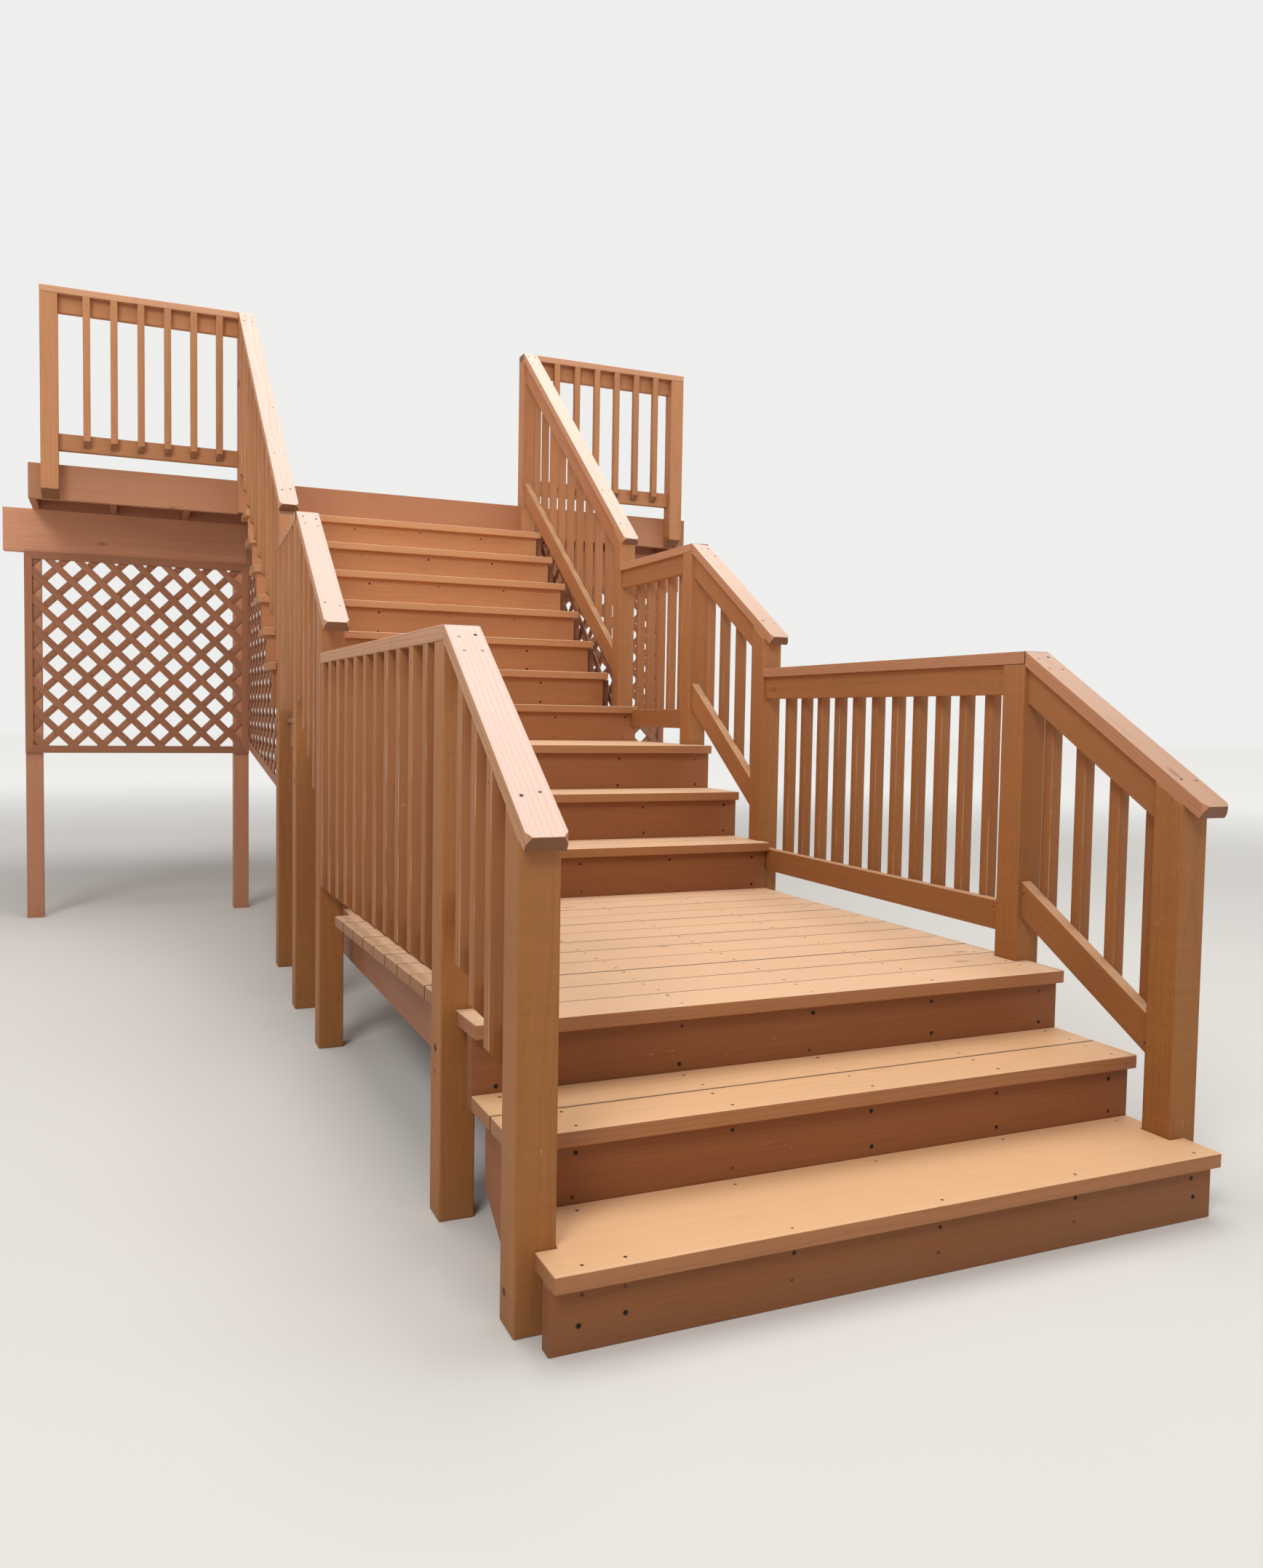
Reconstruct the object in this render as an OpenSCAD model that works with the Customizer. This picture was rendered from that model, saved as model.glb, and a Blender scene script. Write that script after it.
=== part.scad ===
// Wooden deck stairs in three straight flights with two landings, a porch deck at the top,
// capped guards on both sides and lattice skirts below the porch.
// X runs across the stairs, Y up the stairs, Z up from the ground under the first riser.

/* [Flights] */
// Rise of each step in the lower flight
rise_lower = 179; // [150:1:210]
// Run of each step in the lower flight
run_lower = 274; // [240:1:320]
// Treads in the lower flight
treads_in_lower = 2; // [1:1:4]
// Rise of each step in the middle flight
rise_middle = 202; // [150:1:210]
// Run of each step in the middle flight
run_middle = 270; // [240:1:320]
// Treads in the middle flight
treads_in_middle = 2; // [1:1:4]
// Rise of each step in the upper flight
rise_upper = 187; // [150:1:210]
// Run of each step in the upper flight
run_upper = 229; // [215:1:300]
// Treads in the upper flight
treads_in_upper = 7; // [4:1:10]
// Rise from the last tread to the porch floor
porch_rise = 207; // [150:1:215]
// Sideways offset of the upper flight's treads above the first one
tread_shift = -80; // [-96:1:0]

/* [Treads and boards] */
// Length of each tread and landing board
tread_len = 1829; // [1500:1:2200]
// Distance between stringers, and between joists, from the right-hand one on
joist_pitch = 400; // [300:1:500]
// Thickness of treads, boards, risers, rails and stringers
board_t = 38; // [32:1:45]
// Overhang of the tread's nosing past the riser
nosing = 30; // [15:1:40]
// Gap between two deck boards
board_gap = 3.5; // [2:0.5:6]
// Nominal width of a landing board
board_w = 140; // [120:1:190]
// Clearance round a post where a board is notched
notch_gap = 1.5; // [1:0.5:4]
// How far the upper flight's risers stop short of the tread's ends
riser_inset = 18; // [0:1:30]

/* [Landings] */
// Length of the lower, long landing from riser to riser
long_landing = 1693; // [1200:1:2200]
// How much further the long landing's upper boards reach on the left than its lower ones
long_splay = 55; // [0:1:80]
// Length of the upper, short landing from riser to riser
short_landing = 846; // [700:1:1200]
// Height of the landing's joists and side boards
joist_h = 184; // [140:1:240]

/* [Posts and guards] */
// Side of the square posts
post = 92; // [85:1:110]
// How far a tread's end reaches past a post's inner face
tread_past = 48.5; // [40:0.5:80]
// How far the posts at the foot of the middle flight stand out of line
middle_out = 38; // [0:1:48]
// How far the left post at the head of the middle flight stands out of line
short_out = 38; // [0:1:48]
// How far the left post at the head of the upper flight stands out of line
top_out_left = 60; // [0:1:80]
// How far the right post at the head of the upper flight stands out of line
top_out_right = -103; // [-130:1:0]
// Height of the long landing's cap above its boards
guard_h_long = 956; // [900:1:1100]
// Height of the short landing's cap above its boards
guard_h_short = 971; // [900:1:1100]
// Height of the porch guard's cap above the porch floor
porch_guard_h = 968; // [900:1:1100]
// Height of the lower flight's left cap above the tread at its post
cap_h_left = 891; // [850:1:1000]
// Height of the lower flight's right cap above the tread at its post
cap_h_right = 933; // [850:1:1000]
// Height of the middle flight's caps above the tread at their posts
cap_h_middle = 931; // [850:1:1000]
// Height of the upper flight's caps above the tread at their posts
cap_h_upper = 957; // [850:1:1000]
// Height of the rails
rail_h = 94; // [80:1:120]
// Side of the square balusters
baluster = 38; // [30:1:45]
// Distance of a baluster's lower end above the rail's lower edge
bar_up = 20; // [0:1:40]
// The same distance in the left guards of the lower flight and the long landing
bar_up_left = 0; // [0:1:40]
// Length of the lower flight's left cap past its post
past_lower_left = 50; // [20:1:90]
// Length of the lower flight's right cap past its post
past_lower_right = 70; // [20:1:90]
// Length of the middle flight's left cap past its post
past_middle_left = 95; // [20:1:115]
// Length of the middle flight's right cap past its post
past_middle_right = 59; // [20:1:110]
// Length of the upper flight's left cap past its post
past_upper_left = 0; // [0:1:60]
// Length of the upper flight's right cap past its post
past_upper_right = 37; // [0:1:60]
// Size of the clipped corners at a cap's lower end
cap_clip = 14; // [6:1:30]
// Gap below a landing guard's bottom rail
rail_gap = 78; // [50:1:95]
// Gap below the long landing's left bottom rail
rail_gap_left = 50; // [40:1:95]
// Gap below a porch guard's bottom rail
rail_gap_porch = 70; // [50:1:95]
// Lower flight's left bottom rail above the line of the nosings, at its lower post
over_left_foot = 124; // [20:1:140]
// The same rail above that line at its upper post
over_left_head = 88; // [16:1:140]
// Lower flight's right bottom rail above that line at its lower post
over_lower_foot = 57; // [20:1:90]
// The same rail above that line at its upper post
over_lower_head = 36; // [16:1:90]
// Middle flight's bottom rails above the line of the nosings, at their lower posts
over_middle_foot = 7; // [5:1:60]
// The same rails above that line at their upper posts
over_middle_head = 59; // [16:1:90]
// Upper flight's left bottom rail above the line of the nosings, at its lower post
over_upper_left = 22; // [16:1:60]
// Upper flight's right bottom rail there, which runs past the ends of the first treads
over_upper_right = -36; // [-40:1:40]
// Upper flight's bottom rails above that line at their upper posts
over_upper_head = 76; // [16:1:90]
// Lower post's distance behind the first riser's face
set_lower = 88; // [60:1:120]
// Middle flight's lower post behind its first riser's face
set_middle = 41; // [40:1:100]
// Upper flight's lower post behind its first riser's face
set_upper = 135; // [60:1:136]
// Landing's front post behind the landing's riser face
set_landing = 125; // [60:1:180]

/* [Balusters] */
// Balusters in the lower flight's left guard
lower_bars_left = 3; // [2:1:6]
// Balusters in the lower flight's right guard
lower_bars_right = 4; // [2:1:6]
// Balusters on each side of the long landing
long_bars = 11; // [8:1:14]
// Balusters on each side of the middle flight
middle_bars = 4; // [2:1:6]
// Balusters on each side of the short landing
short_bars = 5; // [3:1:7]
// Balusters on each side of the upper flight
upper_bars = 10; // [8:1:12]
// Balusters in each porch guard
porch_bars = 6; // [4:1:10]

/* [Porch deck] */
// From the middle of the stairs to the outer face of the left end post
porch_left = 2080; // [1500:1:3000]
// From the middle of the stairs to the outer face of the right end post
porch_right = 1930; // [1500:1:3000]
// Depth of the porch deck from the rim's face to the wall
porch_depth = 2100; // [1500:1:3000]
// Height of the rim board
rim_h = 200; // [184:1:240]
// Length of the rim past the end posts
rim_past = 70; // [0:1:150]
// Height of the beam below the joists
beam_h = 254; // [184:1:290]
// Length of the beam past the end posts
beam_past = 230; // [150:1:300]
// The beam's distance behind the rim's face
beam_set = 390; // [300:1:600]

/* [Lattice] */
// Width of a lath
lath_w = 41; // [30:1:50]
// Thickness of a lath
lath_t = 8; // [5:1:10]
// Distance between laths, middle to middle
lath_pitch = 116; // [90:1:150]
// Thickness of the lattice's frame boards
trim_t = 20; // [16:1:40]
// Sideways offset of the front lattice's crossings from the middle of its panel
lattice_shift = 27; // [-58:1:58]
// Width of the lattice's frame boards
trim_w = 44; // [30:1:60]
// Width of the strip along the right side lattice's upper edge
strip_w = 14; // [8:1:40]
// Gap between that strip and the rail above it
strip_gap = 10; // [5:1:30]
// Height of the lattice's lower edge above the ground at the beam
skirt_back_z = 1046; // [200:1:1200]
// Height of the side lattice's lower edge at the upper flight's lower post
skirt_side_z = 850; // [200:1:1200]

/* [Hidden] */

stain = [0.64, 0.39, 0.24];
stain_light = [0.80, 0.58, 0.42];
stain_dark = [0.50, 0.29, 0.18];

half_len = tread_len / 2;
half_w = half_len - tread_past;

// Levels of the walking surfaces
long_z = rise_lower * (treads_in_lower + 1);
short_z = long_z + rise_middle * (treads_in_middle + 1);
last_tread_z = short_z + rise_upper * treads_in_upper;
porch_z = last_tread_z + porch_rise;

// Front faces of the first risers, of the landings' risers and of the porch's rim
lower_y = -board_t / 2;
long_y = lower_y + run_lower * treads_in_lower;
middle_y = long_y + long_landing;
short_y = middle_y + run_middle * treads_in_middle;
upper_y = short_y + short_landing;
rim_y = upper_y + run_upper * treads_in_upper;
wall_y = rim_y + porch_depth;
beam_y = rim_y + beam_set;
rim_z = porch_z - rim_h;

// Front faces of the guard's posts
post_lower_y = lower_y + set_lower;
post_long_y = long_y + set_landing;
post_middle_y = middle_y + set_middle;
post_short_y = short_y + set_landing;
post_upper_y = upper_y + set_upper;
post_top_y = rim_y - post;

// Across the guard, from the inner face of the posts outwards
rail_x = post - baluster - board_t;
bar_x = post - baluster;

// The posts of one side from the foot upwards, and how far each stands out of line
post_ys = [post_lower_y, post_long_y, post_middle_y, post_short_y, post_upper_y, post_top_y];
function out_of_line(side, i) =
    [0, 0, middle_out, side < 0 ? short_out : 0, 0, side < 0 ? top_out_left : top_out_right][i];
function inner_x(side, i) = half_w + out_of_line(side, i);

// Heights of the caps' upper faces at the front of each post, and the caps' slopes
porch_cap_z = porch_z + porch_guard_h;
function cap_zs(side) = [
    rise_lower + (side < 0 ? cap_h_left : cap_h_right), long_z + guard_h_long,
    long_z + rise_middle + cap_h_middle, short_z + guard_h_short,
    short_z + rise_upper + cap_h_upper, porch_cap_z];
function cap_slope(side, i) = i == 1 || i == 3 ? 0 :
    (cap_zs(side)[i + 1] - cap_zs(side)[i]) / (post_ys[i + 1] - post_ys[i]);
// Gap between a cap's upper end and the next post
butt_gap = 1.5;
// Gap between framing boards that are not nailed face to face
joint = 0.5;
// How far rails and caps are drawn past a post's face before they are cut there
past_post = 12;
// How far a cutting shape reaches past what it cuts
cut = 1;
// Gap between a board and the riser behind it
riser_gap = 1;
// Distances between the posts and the nearest baluster's middle, in balusters' pitches
ends_flight = [0.5, 0.5];
ends_landing = [1, 1];
ends_lower_left = [0.98, 1.22];
ends_lower_right = [0.42, 0.42];
ends_long_left = [0.65, 0.24];
ends_porch_left = [1.03, 0.74];
ends_porch_right = [1.01, 0.83];

// Wood left below a stringer's inner corners
stringer_throat = 210;
// Least room between the left-hand stringer and the one beside it
stringer_room = 20;
stringer_count = floor((2 * (half_w - board_t) - stringer_room) / joist_pitch);
stringer_x = concat([-half_w],
                    [for (i = [0 : stringer_count]) half_w - board_t - i * joist_pitch]);
// How far a landing's joists reach past the second riser of the flight above
frame_past = 20;
// Height of the slant at the foot of a lapped post
foot_bevel = 46;
// Height of the board behind the upper flight's head
header_h = 222;
// How far the porch's outer legs stand past the end posts, and the inner ones past the stairs
leg_out = 118;
leg_clear = 43;
leg_left_x = -porch_left - leg_out;
leg_right_x = porch_right + leg_out - post;
leg_mid_x = half_w + leg_clear;
// Distance between the porch's joists, before it is evened out
porch_pitch = 406;
// Gap between the rim and a side lattice's upper edge
rim_clear = 6;

function thick(slope) = board_t * sqrt(1 + slope * slope);
function tall(slope) = rail_h * sqrt(1 + slope * slope);

// A profile in the Y-Z plane, carried along X from x0 to x1
module profile(x0, x1, points) {
    translate([x0, 0, 0])
        rotate([90, 0, 90])
            linear_extrude(x1 - x0)
                polygon(points);
}

module box(x0, x1, y0, y1, z0, z1) {
    translate([x0, y0, z0])
        cube([x1 - x0, y1 - y0, z1 - z0]);
}

// Puts what is drawn for the right-hand side on either side
module on_side(side) {
    if (side < 0) mirror([1, 0, 0]) children();
    else children();
}

// Boards side by side from y0 to y1
module boards(x0, x1, y0, y1, top, width) {
    count = max(1, round((y1 - y0 + board_gap) / (width + board_gap)));
    w = (y1 - y0 + board_gap) / count - board_gap;
    for (i = [0 : count - 1])
        box(x0, x1, y0 + i * (w + board_gap), y0 + i * (w + board_gap) + w, top - board_t, top);
}

// The space round the posts that boards are notched for
module post_space() {
    for (side = [-1, 1], i = [0 : 4])
        on_side(side)
            translate([inner_x(side, i), post_ys[i], 0])
                box(-notch_gap, post + notch_gap, -notch_gap, post + notch_gap, -cut, porch_z);
}

// Treads of one flight, two boards each, butted against the next riser
module treads(y, z, run, rise, count, shift) {
    difference() {
        for (k = [0 : count - 1])
            boards(shift - half_len, shift + half_len, y + k * run - nosing, y + (k + 1) * run - riser_gap,
                   z + (k + 1) * rise, (run + nosing - riser_gap - board_gap) / 2);
        post_space();
    }
}

// Riser boards of one flight, each standing from one step's cut to the underside of the tread above
module risers(y, z, run, rise, count, shift, inset) {
    difference() {
        for (k = [0 : count - 1])
            box(shift - half_len + inset, shift + half_len - inset, y + k * run, y + k * run + board_t,
                max(0, z + k * rise - board_t), z + (k + 1) * rise - board_t);
        post_space();
    }
}

// Sawtooth stringers of one flight, from the foot up to the end at y_end
module stringers(y, z, foot, run, rise, count, y_end) {
    back = y + board_t;
    last = z + count * rise - board_t;
    low = last - stringer_throat;
    saw = [for (k = [0 : count - 1], j = [0, 1])
        [k == count - 1 && j == 1 ? y_end : back + (k + j) * run, z + (k + 1) * rise - board_t]];
    for (x = stringer_x)
        profile(x, x + board_t,
                concat([[back, foot]], saw, [[y_end, low], [y_end - (low - foot) * run / rise, foot]]));
}

// Boards of a landing. Their left ends follow a line that runs out by splay towards the last board.
module landing_boards(y, y_end, z, splay) {
    last = y_end - board_w - board_gap;
    difference() {
        intersection() {
            boards(-half_len - splay, half_len, y - nosing, y_end - riser_gap, z, board_w);
            linear_extrude(z + cut)
                polygon([[-half_len, y - nosing - cut], [half_len + cut, y - nosing - cut],
                         [half_len + cut, y_end], [-half_len, y_end], [-half_len, last],
                         [-half_len - splay, last]]);
        }
        post_space();
    }
}

// Side boards, end joists and joists under a landing
module landing_frame(y, y_end, z) {
    top = z - board_t;
    for (x = stringer_x)
        box(x, x + board_t, y + 2 * board_t + joint, y_end - board_t - joint, top - joist_h, top);
    for (yy = [y + board_t, y_end - board_t])
        box(-half_w, half_w, yy, yy + board_t, top - joist_h, top);
}

// Rails and balusters of one guard bay, standing out of the posts' inner faces at x = 0. top0 and low0
// are the upper rail's upper edge and the lower rail's lower edge at y0, each with its own slope. ends
// are the distances from the two posts to the nearest baluster's middle, in balusters' pitches, and up
// is how far the balusters' feet stand above the lower rail's lower edge.
module guard_bay(y0, y1, top0, top_slope, low0, low_slope, count, ends, up) {
    pitch = (y1 - y0) / (count - 1 + ends[0] + ends[1]);
    function top_at(y) = top0 + top_slope * (y - y0);
    function low_at(y) = low0 + low_slope * (y - y0);
    profile(rail_x, rail_x + board_t,
            [[y0 - past_post, top_at(y0 - past_post)], [y1 + past_post, top_at(y1 + past_post)],
             [y1 + past_post, top_at(y1 + past_post) - tall(top_slope)],
             [y0 - past_post, top_at(y0 - past_post) - tall(top_slope)]]);
    profile(rail_x, rail_x + board_t,
            [[y0 - past_post, low_at(y0 - past_post)], [y1 + past_post, low_at(y1 + past_post)],
             [y1 + past_post, low_at(y1 + past_post) + tall(low_slope)],
             [y0 - past_post, low_at(y0 - past_post) + tall(low_slope)]]);
    intersection() {
        for (i = [0 : count - 1]) {
            y = y0 + pitch * (i + ends[0]) + baluster / 2;
            low = low_at(y - baluster / 2) + up;
            translate([0, y, 0])
                rotate([90, 0, 0])
                    linear_extrude(baluster)
                        polygon([[bar_x, low], [post, low + baluster], [post, top_at(y + baluster)],
                                 [bar_x, top_at(y + baluster)]]);
        }
        profile(0, post + cut, [[y0, 0], [y0, top0], [y1, top_at(y1)], [y1, 0]]);
    }
}

// Carries what is drawn along Y to the line between post i and the next one
module in_line(side, i) {
    y = post_ys[i] + post;
    lean = atan((out_of_line(side, i + 1) - out_of_line(side, i)) / (post_ys[i + 1] - y));
    on_side(side)
        translate([inner_x(side, i), y, 0])
            rotate([0, 0, -lean])
                translate([0, -y, 0])
                    children();
}

// Guard between post i and the next one: level on a landing, sloped along a flight
module guard(side, i, low0, low_slope, count, ends, up) {
    y0 = post_ys[i] + post;
    y1 = post_ys[i + 1];
    slope = cap_slope(side, i);
    intersection() {
        in_line(side, i)
            guard_bay(y0, y1, cap_zs(side)[i] + slope * post - thick(slope), slope, low0, low_slope,
                      count, ends, up);
        box(-tread_len, tread_len, y0, y1, 0, porch_cap_z);
    }
}

// A cap board with clipped corners at its lower end and a plumb cut at its upper end
module sloped_cap(y, y_end, z, slope) {
    angle = atan(slope);
    intersection() {
        profile(0, post,
                [[y, z], [y_end, z + slope * (y_end - y)], [y_end, z + slope * (y_end - y) - thick(slope)],
                 [y + board_t * sin(angle), z - board_t * cos(angle)]]);
        translate([0, 0, z - 2 * board_t])
            linear_extrude(4 * board_t + slope * (y_end - y))
                polygon([[cap_clip, y], [post - cap_clip, y], [post, y + cap_clip], [post, y_end],
                         [0, y_end], [0, y + cap_clip]]);
    }
}

// Caps of one side: sloped ones reach past their lower posts and all end at the next post's face
module side_caps(side) {
    past = side < 0 ? [past_lower_left, 0, past_middle_left, 0, past_upper_left] :
        [past_lower_right, 0, past_middle_right, 0, past_upper_right];
    for (i = [0 : 4]) {
        slope = cap_slope(side, i);
        y = post_ys[i] - past[i];
        intersection() {
            in_line(side, i)
                if (slope == 0)
                    box(0, post, y - past_post, post_ys[i + 1] + past_post, cap_zs(side)[i] - board_t,
                        cap_zs(side)[i]);
                else
                    sloped_cap(y, post_ys[i + 1] + past_post, cap_zs(side)[i] - past[i] * slope, slope);
            box(-tread_len, tread_len, slope == 0 ? y : y - past_post, post_ys[i + 1] - butt_gap, 0,
                porch_cap_z);
        }
    }
}

// Post whose head is cut to the cap's slope
module guard_post(side, i) {
    slope = cap_slope(side, i);
    head = cap_zs(side)[i] - thick(slope);
    on_side(side)
        profile(inner_x(side, i), inner_x(side, i) + post,
                [[post_ys[i], 0], [post_ys[i], head], [post_ys[i] + post, head + slope * post],
                 [post_ys[i] + post, 0]]);
}

module side_posts(side) {
    for (i = [0 : 4])
        guard_post(side, i);
}

// Porch guard from x0 to x1, drawn as a bay that runs along X
module porch_guard(x0, x1, count, ends) {
    translate([0, rim_y, 0])
        rotate([0, 0, -90])
            intersection() {
                guard_bay(x0, x1, porch_cap_z - board_t, 0, porch_z + rail_gap_porch, 0, count, ends,
                          bar_up);
                box(0, post, x0, x1, porch_z, porch_cap_z);
            }
}

// Post lapped on the rim's face, with a bevelled foot
module lapped_post(x, foot, bevel) {
    profile(x, x + post,
            [[rim_y - post, foot + bevel], [rim_y, foot], [rim_y, porch_cap_z - board_t],
             [rim_y - post, porch_cap_z - board_t]]);
}

// Two layers of laths at 45 degrees, cut to an outline in the X-Y plane
module lattice(outline, x0, x1, y0, y1, shift) {
    reach = (x1 - x0) + (y1 - y0);
    count = ceil(reach / lath_pitch);
    mid = [(x0 + x1) / 2 + shift, (y0 + y1) / 2];
    intersection() {
        for (layer = [0, 1])
            translate([mid[0], mid[1], layer * lath_t])
                rotate([0, 0, layer == 0 ? -45 : 45])
                    for (i = [-count / 2 : count / 2])
                        translate([i * lath_pitch - lath_w / 2, -reach / 2, 0])
                            cube([lath_w, reach, lath_t]);
        linear_extrude(2 * lath_t)
            polygon(outline);
    }
}

module front_lattice(x0, x1, shift) {
    top = rim_z - beam_h;
    translate([0, beam_y, 0])
        rotate([90, 0, 0]) {
            lattice([[x0, skirt_back_z], [x1, skirt_back_z], [x1, top], [x0, top]],
                    x0, x1, skirt_back_z, top, shift);
            linear_extrude(trim_t)
                difference() {
                    polygon([[x0, skirt_back_z - trim_w], [x1, skirt_back_z - trim_w], [x1, top],
                             [x0, top]]);
                    polygon([[x0 + trim_w, skirt_back_z], [x1 - trim_w, skirt_back_z],
                             [x1 - trim_w, top - trim_w], [x0 + trim_w, top - trim_w]]);
                }
        }
}

// Skirt beside the upper flight. Its upper edge runs along the flight at a set height.
module side_lattice(side, over, edge_w) {
    y0 = post_upper_y + post + joint;
    y1 = beam_y - joint;
    slope = rise_upper / run_upper;
    nosing_z = short_z + rise_upper - (upper_y - nosing) * slope;
    flat = rim_z - rim_clear;
    bend = (flat - over - nosing_z) / slope;
    outline = [[y0, skirt_side_z], [y1, skirt_back_z], [y1, flat], [bend, flat],
               [y0, nosing_z + over + slope * y0]];
    on_side(side)
        translate([half_w + board_t, 0, 0])
            rotate([90, 0, 90]) {
                lattice(outline, y0, y1, skirt_side_z, flat, 0);
                linear_extrude(trim_t)
                    difference() {
                        polygon(outline);
                        inner_outline(slope, y0, y1, flat, over + nosing_z, edge_w);
                    }
            }
}

// The opening inside the side lattice's frame
module inner_outline(slope, y0, y1, flat, line, edge_w) {
    low_slope = (skirt_back_z - skirt_side_z) / (y1 - y0);
    drop = edge_w * sqrt(1 + slope * slope);
    in_flat = flat - trim_w;
    polygon([[y0 + trim_w, skirt_side_z + low_slope * trim_w + trim_w],
             [y1 - trim_w, skirt_back_z - low_slope * trim_w + trim_w],
             [y1 - trim_w, in_flat],
             [(in_flat - line + drop) / slope, in_flat],
             [y0 + trim_w, line - drop + slope * (y0 + trim_w)]]);
}

module stringers_lower() {
    color(stain_dark)
        stringers(lower_y, 0, 0, run_lower, rise_lower, treads_in_lower, long_y + board_t);
}

module treads_lower() {
    color(stain_light)
        treads(lower_y, 0, run_lower, rise_lower, treads_in_lower, 0);
}

module risers_lower() {
    color(stain)
        risers(lower_y, 0, run_lower, rise_lower, treads_in_lower + 1, 0, 0);
}

module landing_long_boards() {
    color(stain_light)
        landing_boards(long_y, middle_y, long_z, long_splay);
}

module landing_long_frame() {
    color(stain)
        landing_frame(long_y, middle_y + board_t + run_middle + frame_past, long_z);
}

module stringers_middle() {
    color(stain_dark)
        stringers(middle_y, long_z, long_z - board_t, run_middle, rise_middle, treads_in_middle,
                  short_y + board_t);
}

module treads_middle() {
    color(stain_light)
        treads(middle_y, long_z, run_middle, rise_middle, treads_in_middle, 0);
}

module risers_middle() {
    color(stain)
        risers(middle_y, long_z, run_middle, rise_middle, treads_in_middle + 1, 0, 0);
}

module landing_short_boards() {
    color(stain_light)
        landing_boards(short_y, upper_y, short_z, 0);
}

module landing_short_frame() {
    color(stain)
        landing_frame(short_y, upper_y + board_t + run_upper + frame_past, short_z);
}

module stringers_upper() {
    color(stain_dark)
        stringers(upper_y, short_z, short_z - board_t, run_upper, rise_upper, treads_in_upper, rim_y);
}

module treads_upper() {
    color(stain_light)
        union() {
            treads(upper_y, short_z, run_upper, rise_upper, 1, 0);
            treads(upper_y + run_upper, short_z + rise_upper, run_upper, rise_upper,
                   treads_in_upper - 1, tread_shift);
        }
}

module risers_upper() {
    color(stain)
        union() {
            risers(upper_y, short_z, run_upper, rise_upper, 1, 0, 0);
            risers(upper_y + run_upper, short_z + rise_upper, run_upper, rise_upper,
                   treads_in_upper - 1, tread_shift, riser_inset);
        }
}

module porch_boards() {
    color(stain_light)
        boards(-porch_left - rim_past + board_t, porch_right + rim_past - board_t,
               rim_y + board_t + riser_gap, wall_y, porch_z, board_w);
}

module porch_rim() {
    color(stain) {
        box(-porch_left - rim_past, porch_right + rim_past, rim_y, rim_y + board_t, rim_z, porch_z);
        for (x = [-porch_left - rim_past, porch_right + rim_past - board_t])
            box(x, x + board_t, rim_y + board_t + joint, wall_y, rim_z, porch_z);
    }
}

module porch_joists() {
    x0 = -porch_left - rim_past + board_t;
    x1 = porch_right + rim_past - board_t;
    count = round((x1 - x0) / porch_pitch);
    pitch = (x1 - x0) / count;
    side = board_t / 2;
    color(stain_dark) {
        for (i = [1 : count - 1])
            box(x0 + i * pitch - side, x0 + i * pitch + side, rim_y + board_t, wall_y - board_t, rim_z,
                porch_z - board_t);
        for (i = [0 : count - 1])
            box(x0 + i * pitch + (i == 0 ? joint : side + joint),
                x0 + (i + 1) * pitch - (i == count - 1 ? joint : side + joint),
                beam_y, beam_y + board_t, rim_z, porch_z - board_t);
        box(-half_w, half_w, rim_y, rim_y + board_t, rim_z - header_h, rim_z);
    }
}

module porch_ledger() {
    color(stain_dark)
        box(-porch_left - rim_past + board_t, porch_right + rim_past - board_t, wall_y - board_t, wall_y,
            rim_z, porch_z - board_t);
}

module porch_beam() {
    color(stain)
        box(-porch_left - beam_past, porch_right + beam_past, beam_y, beam_y + 2 * board_t,
            rim_z - beam_h, rim_z);
}

module porch_legs() {
    color(stain)
        for (x = [leg_left_x, -leg_mid_x - post, leg_mid_x, leg_right_x])
            box(x, x + post, beam_y, beam_y + post, 0, rim_z - beam_h);
}

module posts_left() {
    color(stain) side_posts(-1);
}

module posts_right() {
    color(stain) side_posts(1);
}

module porch_posts() {
    color(stain) {
        lapped_post(-porch_left, rim_z, foot_bevel);
        lapped_post(porch_right - post, rim_z, foot_bevel);
        lapped_post(-inner_x(-1, 5) - post, last_tread_z, 0);
        lapped_post(inner_x(1, 5), last_tread_z, 0);
    }
}

// A flight's guard: its lower rail stands at set heights above the line of the nosings at both posts
module flight_guard(side, i, y, z, run, rise, foot, head, count, ends, up) {
    y0 = post_ys[i] + post;
    length = post_ys[i + 1] - y0;
    low = z + rise + (y0 - y + nosing) * rise / run + foot;
    color(stain)
        guard(side, i, low, rise / run + (head - foot) / length, count, ends, up);
}

module landing_guard(side, i, z, count, ends, up) {
    color(stain)
        guard(side, i, z, 0, count, ends, up);
}

module guard_lower_left() {
    flight_guard(-1, 0, lower_y, 0, run_lower, rise_lower, over_left_foot, over_left_head,
                 lower_bars_left, ends_lower_left, bar_up_left);
}

module guard_long_left() {
    landing_guard(-1, 1, long_z + rail_gap_left, long_bars, ends_long_left, bar_up_left);
}

module guard_middle_left() {
    flight_guard(-1, 2, middle_y, long_z, run_middle, rise_middle, over_middle_foot,
                 over_middle_head, middle_bars, ends_flight, bar_up);
}

module guard_short_left() {
    landing_guard(-1, 3, short_z + rail_gap, short_bars, ends_landing, bar_up);
}

module guard_upper_left() {
    flight_guard(-1, 4, upper_y, short_z, run_upper, rise_upper, over_upper_left,
                 over_upper_head, upper_bars, ends_flight, bar_up);
}

module guard_lower_right() {
    flight_guard(1, 0, lower_y, 0, run_lower, rise_lower, over_lower_foot, over_lower_head,
                 lower_bars_right, ends_lower_right, bar_up);
}

module guard_long_right() {
    landing_guard(1, 1, long_z + rail_gap, long_bars, ends_landing, bar_up);
}

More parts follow.
